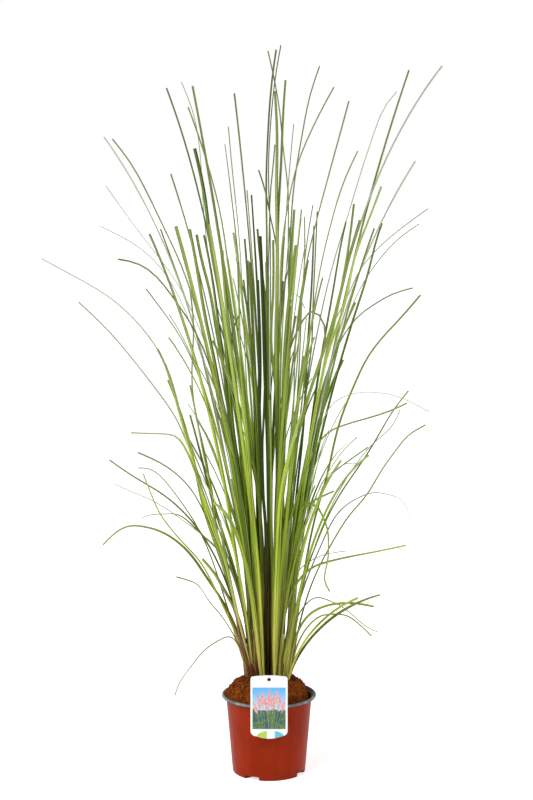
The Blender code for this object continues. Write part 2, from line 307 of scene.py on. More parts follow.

# %% [markdown]
# ## The pot's plastic
# The pot is formed from one sheet of plastic, terracotta on one side and black on the other. The
# rolled rim shows the dark side, scuffed to grey, and a dark band of painted shade runs under its
# roll. One material does both: the height and the radius of a point, from Object coordinates, say
# which side of the sheet it is on. Two flat materials would be simpler, but the real border is soft
# and a little uneven.

# %% Pot material
RIM_BOTTOM = POT_HEIGHT - 6.5 * MM
WALL_SLOPE, WALL_FROM = 12.5 / 150.5, 72.7 * MM


def pot_plastic():
    """The middle of the wall has the radius WALL_FROM + WALL_SLOPE x height."""
    material, shader, place = new_material("pot_terracotta", 0.36, 0.06)
    x, y, height = place.split()
    radius = (x * x + y * y).math("SQRT")
    cloud = place.noise(14.0)
    streaks = place.noise(60.0, 4.0, 0.6, (1.0, 1.0, 0.08))
    specks = place.noise(420.0, 2.0, 0.5)
    clay = cloud.step(0.35, 0.65).mix(srgb(138, 35, 4), srgb(150, 41, 6))
    clay = streaks.step(0.45, 0.75, 0.0, 0.35).mix(clay, srgb(112, 24, 9))
    clay = specks.step(0.70, 0.76, 0.0, 0.35).mix(clay, srgb(196, 100, 66))
    soiled = height.step(0.03, 0.0) * cloud.step(0.4, 0.7)
    clay = (soiled * 0.4).mix(clay, srgb(90, 40, 25))
    grey = streaks.step(0.4, 0.7).mix(srgb(112, 114, 120), srgb(168, 172, 178))
    # painted shade: a dark band along the underside of the rim's roll, where shade falls
    under = height.step(RIM_BOTTOM + 3.4 * MM, RIM_BOTTOM + 0.8 * MM)
    grey = under.mix(grey, srgb(34, 30, 32))
    dark = cloud.step(0.3, 0.7).mix(srgb(34, 30, 30), srgb(58, 52, 50))
    rim = (height + cloud * 0.0012).step(RIM_BOTTOM + 0.2 * MM, RIM_BOTTOM + 1.2 * MM)
    wall = height * WALL_SLOPE + WALL_FROM
    inside = (wall - radius).step(0.0, 0.0008) * height.step(2.0 * MM, 4.0 * MM)
    colour = inside.mix(rim.mix(clay, grey), dark)
    fill(shader.inputs["Roughness"], streaks.step(0.3, 0.8, 0.30, 0.48))
    paint(shader, colour, place.noise(900.0, 2.0), 0.12, 0.0003)
    return material


pot_material = pot_plastic()
print("pot material has", len(pot_material.node_tree.nodes), "nodes")

# %% [markdown]
# ## The pot
# A pot is a profile turned round an axis. Blender's Screw modifier could turn it, but the lower
# edge isn't round: four stretches are pressed in, to let water out. So the pot is a grid over the
# turn and the profile's length, and the lowest rows move inwards by a smooth function of the turn.

# %% Pot surface
POT_SIDES = 288
BASE_RADIUS = 73.5 * MM
WALL_TOP_RADIUS = 86.0 * MM
WALL = 1.5 * MM
BASE_ROUND = 3.0 * MM
RIM_INNER = 89.0 * MM
NOTCH_TURNS = (-28, 63, 152, 242)
NOTCH_HALF_TURN = 10.0
NOTCH_SLOPE = 2.6
NOTCH_HEIGHT = 7.5 * MM
NOTCH_DEPTH = 22.0 * MM
RAISED_FLOOR = 9.0 * MM
RAISED_FROM = 48.0 * MM
# the height of each wave round the wall at the rim, its count in a turn and its start in degrees
WOBBLES = ((0.25 * MM, 2, 40), (0.15 * MM, 3, 0))
WOBBLE_WITHIN = 92.0 * MM


def arc(centre, radii, start, end, count):
    """Points of an ellipse's arc, in degrees from outwards, going up."""
    angles = np.radians(np.linspace(start, end, count))
    return np.stack(
        (centre[0] + radii[0] * np.cos(angles), centre[1] + radii[1] * np.sin(angles)), axis=-1
    )


def line(start, end, count):
    """Points from start towards end, without the end."""
    share = np.linspace(0, 1, count, endpoint=False)[:, None]
    return np.array(start) * (1 - share) + np.array(end) * share


def pot_profile():
    """Radius and height from the underside, up the outside, over the rim and down the inside.

    The last column is 1 where a drain notch moves the point inwards.
    """
    low_corner = arc((BASE_RADIUS - BASE_ROUND, BASE_ROUND), (BASE_ROUND,) * 2, -90, 0, 7)
    shelf = np.array(((BASE_RADIUS + 0.2 * MM, NOTCH_HEIGHT - 0.5 * MM),))
    wall = line((BASE_RADIUS + 0.3 * MM, NOTCH_HEIGHT), (WALL_TOP_RADIUS, RIM_BOTTOM), 40)
    lip = np.array(
        (
            (WALL_TOP_RADIUS, RIM_BOTTOM),
            (WALL_TOP_RADIUS + 1.2 * MM, RIM_BOTTOM + 0.9 * MM),
            (WALL_TOP_RADIUS + 4.0 * MM, RIM_BOTTOM + 0.7 * MM),
        )
    )
    roll_middle = (RIM_RADIUS - 3.0 * MM, POT_HEIGHT - 3.25 * MM)
    roll = arc(roll_middle, (3.0 * MM, 3.25 * MM), -90, 170, 19)
    ledge = np.array(((RIM_INNER - 0.2 * MM, RIM_BOTTOM + 2.6 * MM),))
    inside_top, inside_base = WALL_TOP_RADIUS - WALL, BASE_RADIUS - WALL
    inside = line((inside_top, RIM_BOTTOM + 1.2 * MM), (inside_base, RAISED_FLOOR), 24)
    raised = ((BASE_RADIUS - BASE_ROUND, RAISED_FLOOR), (RAISED_FROM, RAISED_FLOOR))
    floor = np.array((*raised, (RAISED_FROM - WALL, WALL), (20 * MM, WALL)))
    under = np.array(((20 * MM, 0.0),))
    moved = np.concatenate((under, low_corner, shelf))
    fixed = np.concatenate((wall, lip, roll, ledge, inside, floor))
    pulled = np.concatenate((np.zeros(1), np.ones(len(moved) - 1), np.zeros(len(fixed))))
    return np.column_stack((np.concatenate((moved, fixed)), pulled))


def notch_pull(turn):
    """1 in the middle of a notch and 0 away from it, with a smooth slope between."""
    pull = np.zeros_like(turn)
    for middle in NOTCH_TURNS:
        away = np.abs((turn - (middle - 90) + 180) % 360 - 180)
        share = np.clip((NOTCH_HALF_TURN + NOTCH_SLOPE - away) / (2 * NOTCH_SLOPE), 0, 1)
        pull = np.maximum(pull, share * share * (3 - 2 * share))
    return pull


def make_pot():
    """Radius = profile - notch depth x pull(turn) x the profile's own share + waves x height."""
    profile = pot_profile()
    turn = np.linspace(0, 360, POT_SIDES, endpoint=False)
    radius = profile[:, :1] - NOTCH_DEPTH * profile[:, 2:] * notch_pull(turn)[None, :]
    wobble = sum(high * np.sin(np.radians(count * turn + start)) for high, count, start in WOBBLES)
    within = profile[:, :1] < WOBBLE_WITHIN
    radius = radius + wobble[None, :] * (profile[:, 1:2] / POT_HEIGHT) * within
    angle = np.radians(turn)[None, :]
    height = profile[:, 1:2] + 0 * angle
    rows = np.stack((radius * np.cos(angle), radius * np.sin(angle), height), axis=-1)
    points, faces = closed_turn(rows)
    return add_mesh("nursery_pot", points, faces, [pot_material], sharp=50)


pot = make_pot()
place_piece(pot, "pot_plastic", "pot")

# %% [markdown]
# ## The soil
# Coir potting mix is a rough mound: lumps of all sizes, crumbs and fibres. A displaced grid makes
# the mound. Its height falls towards the wall, more on the right, where the photograph shows a
# gap, and a sum of many waves of seeded direction and length roughens it. Crumbs and fibres are
# joined meshes on top, because small overhanging bits can't come from a height.

# %% Coir material
def coir():
    material, shader, place = new_material("coir_mix", 0.95, 0.1)
    lumps = place.noise(170.0, 4.0, 0.6)
    grains = place.noise(800.0, 3.0, 0.6)
    colour = lumps.step(0.35, 0.62).mix(srgb(84, 36, 6), srgb(156, 80, 18))
    colour = grains.step(0.52, 0.72).mix(colour, srgb(196, 110, 46))
    colour = grains.step(0.47, 0.33).mix(colour, srgb(38, 16, 6))
    colour = place.noise(40.0, 2.0).step(0.5, 0.75, 0.0, 0.5).mix(colour, srgb(86, 40, 20))
    paint(shader, colour, grains, 0.8, 0.0012)
    return material


coir_material = coir()

# %% Soil surface
SOIL_SIDES = 384
SOIL_RINGS = 92
SOIL_TOP = 189.5 * MM
SOIL_EDGE = 83.0 * MM
SOIL_FLAT = 50.0 * MM
SOIL_WAVES = 90
SOIL_SPILL = 5.6 * MM
FALL, FALL_MORE = 27 * MM, 22 * MM
WAVE_HEIGHT = 0.050 * MM
CREVICE = np.array((-68.0, -14.0)) * MM
CREVICE_SIZE = 4.5 * MM
CREVICE_DEPTH = 13.0 * MM
random = np.random.default_rng(11)
wave_length = np.geomspace(3.2 * MM, 45 * MM, SOIL_WAVES)
wave_turn = random.uniform(0, math.tau, SOIL_WAVES)
wave_start = random.uniform(0, math.tau, SOIL_WAVES)


def soil_height(x, y):
    """Crown - fall(turn) x share ** power(turn) + the sum of all waves - the crevice.

    share goes from 0 at the crown's edge to 1 at the wall, and each wave's height grows with
    the square root of its length.
    """
    radius = np.hypot(x, y)
    turn = np.arctan2(y, x)
    share = np.clip((radius - SOIL_FLAT) / (SOIL_EDGE - SOIL_FLAT), 0, 1)
    fall = FALL + FALL_MORE * (1 + np.cos(turn)) / 2
    power = 2.6 - 1.0 * np.abs(np.sin(turn))
    number = math.tau / wave_length
    phase = x[..., None] * number * np.cos(wave_turn) + y[..., None] * number * np.sin(wave_turn)
    waves = (np.cos(phase + wave_start) * np.sqrt(wave_length / MM)).sum(axis=-1) * WAVE_HEIGHT
    dip = CREVICE_DEPTH * np.exp(-((x - CREVICE[0]) ** 2 + (y - CREVICE[1]) ** 2) / CREVICE_SIZE**2)
    return SOIL_TOP - fall * share**power + waves * (0.5 + share) - dip


def make_soil():
    """A turned side and floor, then rings that close in over the mound.

    Where the mound stands above the rim, its edge reaches out to the rim's inner edge.
    """
    angle = np.linspace(0, math.tau, SOIL_SIDES, endpoint=False)
    low, high = 1.8 * MM, RAISED_FLOOR + 0.3 * MM
    side = ((20 * MM, low), (RAISED_FROM - 2 * MM, low), (RAISED_FROM, high), (70 * MM, high))
    side = (*side, (71.5 * MM, high + 2 * MM), (SOIL_EDGE - 3 * MM, 120 * MM))
    radius = [np.full(SOIL_SIDES, r) for r, _ in side]
    height = [np.full(SOIL_SIDES, z) for _, z in side]
    spill = SOIL_SPILL * ((1 - np.cos(angle)) / 2) ** 3
    for share in np.linspace(1, 0, SOIL_RINGS):
        r = 1.5 * MM + (SOIL_EDGE + spill - 1.5 * MM) * share
        radius.append(r)
        height.append(soil_height(r * np.cos(angle), r * np.sin(angle)))
    radius, height = np.array(radius), np.array(height)
    rows = np.stack((radius * np.cos(angle), radius * np.sin(angle), height), axis=-1)
    points, faces = closed_turn(rows)
    return add_mesh("coir_mound", points, faces, [coir_material], sharp=80)


mound = make_soil()
place_piece(mound, "soil", "soil")

# %% Crumbs and fibres on the soil
CRUMBS = 2600
FIBRES = 1000
FIBRE_RINGS = 7
UPWARD = np.array((0.0, 0.0, 1.0))
GOLDEN = (1 + math.sqrt(5)) / 2


def turned_frames(count):
    """Random rotations, as the three columns of orthogonal matrices."""
    first = random.normal(size=(count, 3))
    first /= np.linalg.norm(first, axis=1, keepdims=True)
    second = np.cross(first, random.normal(size=(count, 3)))
    second /= np.linalg.norm(second, axis=1, keepdims=True)
    return np.stack((first, second, np.cross(first, second)), axis=-1)


def soil_places(count, margin):
    """Even spread over a disc: the radius goes with the square root of a random share."""
    radius = (SOIL_EDGE - margin) * np.sqrt(random.uniform(0.12, 1, count))
    turn = random.uniform(0, math.tau, count)
    x, y = radius * np.cos(turn), radius * np.sin(turn)
    return np.stack((x, y, soil_height(x, y)), axis=-1)


def make_crumbs():
    """One icosahedron for each crumb, stretched, turned and set into the surface."""
    corner = np.array([(0, s, t * GOLDEN) for s in (-1, 1) for t in (-1, 1)], dtype=float)
    corners = np.concatenate([np.roll(corner, shift, axis=1) for shift in range(3)])
    corners /= np.linalg.norm(corners[0])
    near = np.linalg.norm(corners[:, None] - corners[None], axis=-1) < 1.2
    triples = itertools.combinations(range(12), 3)
    faces = np.array([(a, b, c) for a, b, c in triples if near[a, b] and near[b, c] and near[a, c]])
    first, second, third = corners[faces].swapaxes(0, 1)
    inward = (np.cross(second - first, third - first) * (first + second + third)).sum(axis=1) < 0
    faces[inward] = faces[inward][:, ::-1]
    size = random.uniform(0.6, 2.0, (CRUMBS, 1, 1)) ** 1.5 * MM
    shape = corners[None] * random.uniform(0.5, 1.2, (CRUMBS, 12, 1))
    shape = shape * random.uniform(0.6, 1.3, (CRUMBS, 1, 3))
    turned = np.einsum("bpi,bji->bpj", shape * size, turned_frames(CRUMBS))
    points = turned + soil_places(CRUMBS, 1 * MM)[:, None]
    shifted = faces[None] + 12 * np.arange(CRUMBS)[:, None, None]
    return add_mesh("coir_crumbs", points, [shifted.reshape(-1, 3)], [coir_material], sharp=30)


def tube_faces(tubes, rings, sides):
    """Quads of many tubes at once, and their two ends."""
    quads = ring_quads(rings, sides)
    ends = np.stack((np.arange(sides)[::-1], (rings - 1) * sides + np.arange(sides)))
    step = rings * sides * np.arange(tubes)[:, None, None]
    return [(quads[None] + step).reshape(-1, 4), (ends[None] + step).reshape(-1, sides)]


def make_fibres():
    """Each fibre is an arc: start + direction x share + lift x share x (1 - share) + curl."""
    start = soil_places(FIBRES, 4 * MM)
    length = random.uniform(5, 20, (FIBRES, 1, 1)) * MM
    turn = random.uniform(0, math.tau, FIBRES)
    tilt = random.uniform(-0.15, 0.7, FIBRES)
    level = np.stack((np.cos(turn), np.sin(turn), 0 * turn), axis=-1)
    direction = level * np.cos(tilt)[:, None] + UPWARD * np.sin(tilt)[:, None]
    sideways = np.stack((-np.sin(turn), np.cos(turn), 0 * turn), axis=-1)
    share = np.linspace(0, 1, FIBRE_RINGS)[None, :, None]
    curl = random.normal(0, 0.25, (FIBRES, 1, 1))
    lift = random.uniform(-0.1, 0.25, (FIBRES, 1, 1))
    bent = direction[:, None] * share + sideways[:, None] * curl * share**2
    path = start[:, None] + length * (bent + UPWARD * lift * share * (1 - share))
    path[..., 2] -= 0.4 * MM
    thick = random.uniform(0.10, 0.26, (FIBRES, 1, 1, 1)) * MM
    around = np.radians((45, 135, 225, 315))
    over = np.cross(direction, sideways)
    ring = sideways[:, None, None] * np.cos(around)[:, None]
    ring = ring + over[:, None, None] * np.sin(around)[:, None]
    thinning = (1 - 0.7 * share)[..., None]
    points = path[:, :, None] + ring * thick * thinning
    return add_mesh("coir_fibres", points, tube_faces(FIBRES, FIBRE_RINGS, 4), [coir_material])


for piece in (make_crumbs(), make_fibres()):
    place_piece(piece, "soil")

# %% [markdown]
# ## The plant label
# The label is a thin printed card that stands in front of the rim on a hook. Its outline is a few
# arcs and bows. The card is a grid of rings between the hole and the outline, on the front and on
# the back, so that it can bend a little. The print is a picture of our own: pink plumes in a row
# over a green field, and a plain footer in two colours. It comes from shapes reckoned in the
# material.

# %% Label materials
CARD_TOP = card_high[2] - 2 * MM
CARD_BOTTOM = card_low[2] + 5 * MM
CARD_HALF = card_high[0]
CARD_FRONT = card_low[1]
CARD_THICK = 0.8 * MM
HOLE_RADIUS = 3.0 * MM
HOLE_BELOW_TOP = 6.5 * MM
PICTURE_TOP = 198.5 * MM
PICTURE_BOTTOM = 114.6 * MM
PICTURE_HALF = 32.5 * MM
FIELD_TOP = 154.0 * MM
PRINT_SOFT = 0.15 * MM
ARCH_MIDDLE = (2.8 * MM, 97.8 * MM)
ARCH_HALF = (27.5 * MM, 13.7 * MM)
# middle across and up, half width, half height in mm, and lean
PLUMES = (
    (-27.0, 158.0, 3.2, 13.0, -0.25),
    (-19.5, 167.0, 3.8, 15.0, -0.16),
    (-12.5, 174.0, 3.6, 15.0, -0.08),
    (-5.5, 164.0, 3.8, 15.0, -0.10),
    (0.5, 176.0, 4.0, 17.0, 0.02),
    (7.5, 167.0, 3.8, 15.0, 0.06),
    (13.5, 178.0, 3.8, 14.0, 0.12),
    (20.5, 168.0, 3.8, 14.0, 0.16),
    (27.5, 160.0, 3.0, 13.0, 0.26),
)


def label_print():
    """Masks are products of smooth steps; a plume is an ellipse whose edge is frayed by noise."""
    material, shader, place = new_material("label_print", 0.28)
    x, _, z = place.split()
    fray = place.noise(260.0, 3.0, 0.6, (1.0, 1.0, 0.5))
    fine = place.noise(520.0, 4.0, 0.7, (1.0, 1.0, 0.4))
    cloud = place.noise(60.0)
    sky = z.step(FIELD_TOP, PICTURE_TOP).mix(srgb(176, 220, 246), srgb(96, 182, 240))
    field = fine.step(0.38, 0.62).mix(srgb(18, 52, 38), srgb(112, 156, 84))
    field = cloud.step(0.42, 0.62).mix(field, srgb(34, 84, 88))
    edge = z + (cloud - 0.5) * 0.022 + (fray - 0.5) * 0.010
    picture = edge.step(FIELD_TOP + 1 * MM, FIELD_TOP - 1 * MM).mix(sky, field)
    ragged = (fray - 0.5) * 2.6
    pink = fine.step(0.35, 0.65).mix(srgb(206, 112, 122), srgb(250, 196, 188))
    for middle_x, middle_z, half_width, half_height, lean in PLUMES:
        along = z - middle_z * MM
        across = x - middle_x * MM - along * lean
        stem = abs(across).step(0.9 * MM, 0.3 * MM) * along.step(0.0, -2 * MM)
        picture = (stem * 0.55).mix(picture, srgb(140, 150, 96))
        away = abs(across / (half_width * MM)) ** 2.0 + abs(along / (half_height * MM)) ** 2.0 + ragged
        picture = away.step(1.5, 0.4).mix(picture, pink)
    mask = abs(x).step(PICTURE_HALF + PRINT_SOFT, PICTURE_HALF - PRINT_SOFT)
    mask = mask * z.step(PICTURE_TOP + PRINT_SOFT, PICTURE_TOP - PRINT_SOFT)
    mask = mask * z.step(PICTURE_BOTTOM - PRINT_SOFT, PICTURE_BOTTOM + PRINT_SOFT)
    # painted shade: a dark grey ring round the hole stands in for the shade seen through it
    hole_z = z - (CARD_TOP - HOLE_BELOW_TOP)
    from_hole = (x * x + hole_z * hole_z).math("SQRT")
    painted_hole_shade = from_hole.step(HOLE_RADIUS + 0.8 * MM, HOLE_RADIUS + 0.2 * MM)
    white = painted_hole_shade.mix(srgb(244, 246, 244), srgb(60, 62, 60))
    arch_x, arch_z = (x - ARCH_MIDDLE[0]) / ARCH_HALF[0], (z - ARCH_MIDDLE[1]) / ARCH_HALF[1]
    below = (arch_x * arch_x + arch_z * arch_z).step(1.03, 0.97)
    footer = (below * x.step(-4.0 * MM, -4.6 * MM)).mix(white, srgb(176, 208, 84))
    footer = (below * x.step(11.0 * MM, 11.6 * MM)).mix(footer, srgb(92, 194, 212))
    paint(shader, mask.mix(footer, picture), place.noise(90.0, 2.0), 0.05, 0.0004)
    return material


def card_plastic():
    material, shader, place = new_material("label_card", 0.32)
    colour = place.noise(70.0).step(0.3, 0.7).mix(srgb(236, 238, 236), srgb(246, 247, 245))
    paint(shader, colour, place.noise(300.0, 2.0), 0.04, 0.0003)
    return material


print_material, card_material = label_print(), card_plastic()

# %% Label surface
CARD_ROUND = 288
CARD_ACROSS = 26
CARD_RINGS_POWER = 0.8
CARD_BEND = 0.5 * MM
HOOK_HALF = 9.0 * MM
HOOK_REACH = 80.5 * MM
HOOK_END = 125.0 * MM
HOOK_BEND = 3.0 * MM


def even_outline(corners, count):
    """Points at even steps of length along a closed line of corners."""
    closed = np.concatenate((corners, corners[:1]))
    passed = passed_along(closed)
    steps = np.linspace(0, passed[-1], count, endpoint=False)
    return np.stack([np.interp(steps, passed, closed[:, axis]) for axis in (0, 1)], axis=-1)


def card_outline():
    """Four corner arcs, joined by a slightly bowed top and a more bowed bottom."""
    top_round, low_round = 6 * MM, 11 * MM
    top_half, low_half = CARD_HALF - top_round, CARD_HALF - low_round
    top_line, low_line = CARD_TOP - top_round, CARD_BOTTOM + low_round
    bow = np.linspace(0.95, -0.95, 21)
    top = np.stack((bow * top_half, CARD_TOP + 2 * MM * (1 - bow**2)), axis=-1)
    bottom = np.stack((-bow * low_half, CARD_BOTTOM - 5 * MM * (1 - bow**2)), axis=-1)
    return np.concatenate(
        (
            arc((top_half, top_line), (top_round,) * 2, 0, 90, 12),
            top,
            arc((-top_half, top_line), (top_round,) * 2, 90, 180, 12),
            arc((-low_half, low_line), (low_round,) * 2, 180, 270, 12),
            bottom,
            arc((low_half, low_line), (low_round,) * 2, 270, 360, 12),
        )
    )


def make_card():
    """Ring r of the front: hole edge x (1 - r) + outline x r, then the back in reverse.

    The front bends back by CARD_BEND x (x / half width) ** 2 at its foot, and less higher up.
    """
    outline = even_outline(card_outline(), CARD_ROUND)
    centre = np.array((0.0, CARD_TOP - HOLE_BELOW_TOP))
    away = outline - centre
    hole = centre + HOLE_RADIUS * away / np.linalg.norm(away, axis=1, keepdims=True)
    share = np.linspace(0, 1, CARD_ACROSS)[:, None, None] ** CARD_RINGS_POWER
    flat = hole * (1 - share) + outline * share
    x, z = flat[..., 0], flat[..., 1]
    bend = CARD_BEND * (x / CARD_HALF) ** 2 * (1 - (z - CARD_BOTTOM) / (CARD_TOP - CARD_BOTTOM))
    front = np.stack((x, CARD_FRONT + bend, z), axis=-1)
    back = front[::-1] + np.array((0.0, CARD_THICK, 0.0))
    rows = np.concatenate((front, back))
    points = rows.reshape(-1, 3)
    quads = ring_quads(len(rows), CARD_ROUND)
    printed = (CARD_ACROSS - 1) * CARD_ROUND
    here = np.arange(CARD_ROUND)
    following = (here + 1) % CARD_ROUND
    last = (len(rows) - 1) * CARD_ROUND
    hole_wall = np.stack((last + here, last + following, following, here), axis=-1)
    groups = [faces[:, ::-1] for faces in (quads[:printed], quads[printed:], hole_wall)]
    return add_mesh("label_card", points, groups, [print_material, card_material], (0, 1, 1), sharp=50)


def make_hook():
    """A flat strip: over the rim, round a bend and down into the soil."""
    over = POT_HEIGHT + 0.7 * MM
    level = line((CARD_FRONT + CARD_THICK, over), (-HOOK_REACH - HOOK_BEND, over), 6)
    bend = arc((-HOOK_REACH - HOOK_BEND, over - HOOK_BEND), (HOOK_BEND,) * 2, 90, 0, 8)
    drop = line((-HOOK_REACH, over - HOOK_BEND - 0.5 * MM), (-HOOK_REACH, HOOK_END), 12)
    path = np.concatenate((level, bend, drop, ((-HOOK_REACH, HOOK_END),)))
    along = np.gradient(path, axis=0)
    along /= np.linalg.norm(along, axis=1, keepdims=True)
    outer = np.stack((-along[:, 1], along[:, 0]), axis=-1) * CARD_THICK / 2
    corner_x = np.array((-HOOK_HALF, HOOK_HALF, HOOK_HALF, -HOOK_HALF))
    corner_out = np.array((1.0, 1.0, -1.0, -1.0))
    deep_high = path[:, None] + outer[:, None] * corner_out[None, :, None]
    points = np.stack((corner_x + 0 * deep_high[..., 0], deep_high[..., 0], deep_high[..., 1]), axis=-1)
    faces = tube_faces(1, len(path), 4)
    if signed_volume(points.reshape(-1, 3), faces) < 0:
        faces = [group[:, ::-1] for group in faces]
    return add_mesh("label_hook", points, faces, [card_material], sharp=30)


card = make_card()
place_piece(card, "label_card", "plant_label")
place_piece(make_hook(), "label_card")

# %% [markdown]
# ## The leaf's finish
# A blade of this grass is olive or tan where it leaves the soil, green along its length and greyer
# at its tip. Fine parallel veins run along it, with a pale midrib. The pattern has to follow the
# blade and not the room, so it reads the blade's own UV map: U across and V along. Four shares in
# an attribute make every blade a little different: bright or dark, greyish, red at the base, and
# painted shade, which darkens a blade to nearly black where the middle of the clump lies in shade.

# %% Leaf material
BASE_GREEN_FROM = 0.20
BASE_GREEN_TO = 0.52
VEINS = 11.0


def leaf_green():
    """Each line lays one colour over what is there, with the share that comes before mix."""
    material, shader, place = new_material("leaf_green", 0.45, 0.14)
    height = place.split()[2]
    across, along, _ = Value(node(place.tree, "UVMap", uv_map="UVMap").outputs[0]).split()
    shares = node(place.tree, "Attribute", attribute_name="blade").outputs
    parts = node(place.tree, "SeparateColor", {"Color": Value(shares["Color"])}).outputs
    tone, grey, red = (Value(part) for part in parts)
    # the alpha of the blade attribute is the share of painted shade
    deep = Value(shares["Alpha"])
    blotch = place.noise(30.0, 3.0, 0.6, (1.0, 1.0, 0.25))
    dapple = place.noise(150.0, 3.0, 0.6, (1.0, 1.0, 0.12))
    green = tone.mix(srgb(70, 104, 14), srgb(190, 214, 62))
    green = blotch.step(0.35, 0.7, 0.0, 0.4).mix(green, srgb(128, 150, 28))
    high_green = tone.mix(srgb(122, 146, 74), srgb(186, 204, 138))
    green = height.step(0.5, 1.2, 0.0, 0.72).mix(green, high_green)
    olive = tone.mix(srgb(130, 126, 28), srgb(240, 228, 108))
    uneven = height + blotch * 0.1
    dry = uneven.step(BASE_GREEN_TO, BASE_GREEN_FROM) * along.step(0.5, 0.2)
    colour = dry.mix(green, olive)
    tip_green = height.step(0.55, 1.05).mix(srgb(172, 190, 116), srgb(112, 124, 80))
    colour = (along + blotch * 0.2).step(0.78, 1.12).mix(colour, tip_green)
    grey_green = grey.step(0.5, 1.0).mix(srgb(160, 172, 128), srgb(196, 202, 184))
    colour = (grey * along.step(0.2, 0.6, 0.4, 0.9)).mix(colour, grey_green)
    strip = {"X": across * 5.0 + tone * 50.0, "Y": along, "Z": grey}
    streak = Value(node(place.tree, "CombineXYZ", strip).outputs[0]).noise(1.0, 2.0, 0.5, (1.0, 3.0, 9.0))
    pale_streak = height.step(0.5, 0.25).mix(srgb(158, 190, 70), srgb(216, 200, 118))
    colour = streak.step(0.53, 0.66, 0.0, 0.7).mix(colour, pale_streak)
    colour = streak.step(0.48, 0.36, 0.0, 0.8).mix(colour, srgb(36, 58, 6))
    vein = (across * (math.tau * VEINS)).math("SINE")
    colour = (vein.step(0.2, 1.0) * 0.2).mix(colour, srgb(40, 62, 8))
    from_middle = abs(across - 0.5)
    colour = (from_middle.step(0.08, 0.02) * 0.5).mix(colour, srgb(190, 204, 104))
    colour = (from_middle.step(0.42, 0.5) * 0.3).mix(colour, srgb(128, 128, 50))
    colour = dapple.step(0.60, 0.74, 0.0, 0.4).mix(colour, srgb(176, 156, 84))
    maroon = streak.step(0.4, 0.62).mix(srgb(74, 20, 20), srgb(138, 62, 50))
    colour = (red * uneven.step(0.52, 0.26)).mix(colour, maroon)
    # painted shade: nearly black, dark green higher up and dark red lower down, for the shaded middle of
    # the clump
    painted_shade_colour = uneven.step(0.62, 0.46).mix(srgb(34, 54, 6), srgb(58, 28, 14))
    fill(shader.inputs["Roughness"], dapple.step(0.3, 0.7, 0.36, 0.55))
    paint(shader, deep.mix(colour, painted_shade_colour), vein, 0.25, 0.0002)
    return material


leaf_material = leaf_green()
print("leaf material has", len(leaf_material.node_tree.nodes), "nodes")

# %% [markdown]
# ## A blade is a section carried along a path
# Hair curves or particles would be quick, but they have no real faces. A blade here is a closed
# strip: an eight-cornered V section, wide and thin, carried along a path. At the base the V is
# nearly shut, like a sheath, and it opens higher up. The whole bundle is one array with the axes
# blade, ring, corner and coordinate, so there is no loop over points.

# %% Blade surface
SECTION_ACROSS = np.array((-1.0, -0.5, 0.0, 0.5, 1.0, 0.5, 0.0, -0.5))
SECTION_ABOVE = np.array((0.0, 0.8, 1.0, 0.8, 0.0, -0.8, -1.0, -0.8))
BLADE_THICK = 1.0 * MM
FOLD = math.radians(36)
SHEATH_FOLD = math.radians(32)
TIP_FOLD = math.radians(-16)
SHEATH_SHARE = 0.10
SHEATH_WIDER = 0.1
LOW_WIDTH = 6.8 * MM
LOW_AT, LOW_SPREAD = 0.14, 0.15
TAPER_FROM = 0.50
TAPER_POWER = 1.5
ENDS = {"point": 0.46, "cut": 0.72}
TIP_WIDTH = 4.6 * MM
TIP_SHARE = 0.72
CUT_ALONG = 0.84


def unit(vectors):
    return vectors / np.linalg.norm(vectors, axis=-1, keepdims=True)


def half_widths(share, width, end):
    """Half width x (1 + sheath) x (1 - (1 - end) x passed ** power), and no less than a tip's.

    A tip is TIP_WIDTH across, or a share of a blade that is thin all along. A thin blade is
    broader low down, by what it lacks of LOW_WIDTH x exp(-((share - LOW_AT) / LOW_SPREAD) ** 2).
    """
    passed = np.clip((share - TAPER_FROM) / (1 - TAPER_FROM), 0, 1)
    sheath = 1 + SHEATH_WIDER * np.exp(-((share / SHEATH_SHARE) ** 2))
    low = np.exp(-(((share - LOW_AT) / LOW_SPREAD) ** 2))
    wide = width[:, None] + np.maximum(LOW_WIDTH - width[:, None], 0) * low
    half = wide / 2 * sheath * (1 - (1 - end[:, None]) * passed**TAPER_POWER)
    tip = np.minimum(TIP_WIDTH, width * TIP_SHARE) / 2
    return np.maximum(half, tip[:, None])


def blade_points(path, side, width, end, roll):
    """path and side (blades, rings, 3); width, end (blades); roll (blades, rings) in radians.

    tangent = change of path; side is made square to it; normal = tangent x side. A corner is
    path + side x across x half x cos(fold) + normal x (|across| - 1/2) x half x sin(fold)
    + normal x above x half the thickness.
    """
    rings = path.shape[1]
    share = np.linspace(0, 1, rings)[None, :]
    tangent = unit(np.gradient(path, axis=1))
    side = unit(side - tangent * (side * tangent).sum(axis=-1, keepdims=True))
    normal = np.cross(tangent, side)
    turned_side = side * np.cos(roll)[..., None] + normal * np.sin(roll)[..., None]
    turned_normal = normal * np.cos(roll)[..., None] - side * np.sin(roll)[..., None]
    half = half_widths(share, width, end)
    fold = FOLD + SHEATH_FOLD * np.exp(-((share / SHEATH_SHARE) ** 2)) + TIP_FOLD * share**3
    thick = np.minimum(BLADE_THICK / 2, half * 0.6)
    across = (half * np.cos(fold))[..., None] * SECTION_ACROSS
    raised = (half * np.sin(fold))[..., None] * (np.abs(SECTION_ACROSS) - 0.5)
    raised = raised + thick[..., None] * SECTION_ABOVE
    return (
        path[:, :, None]
        + turned_side[:, :, None] * across[..., None]
        + turned_normal[:, :, None] * raised[..., None]
    )


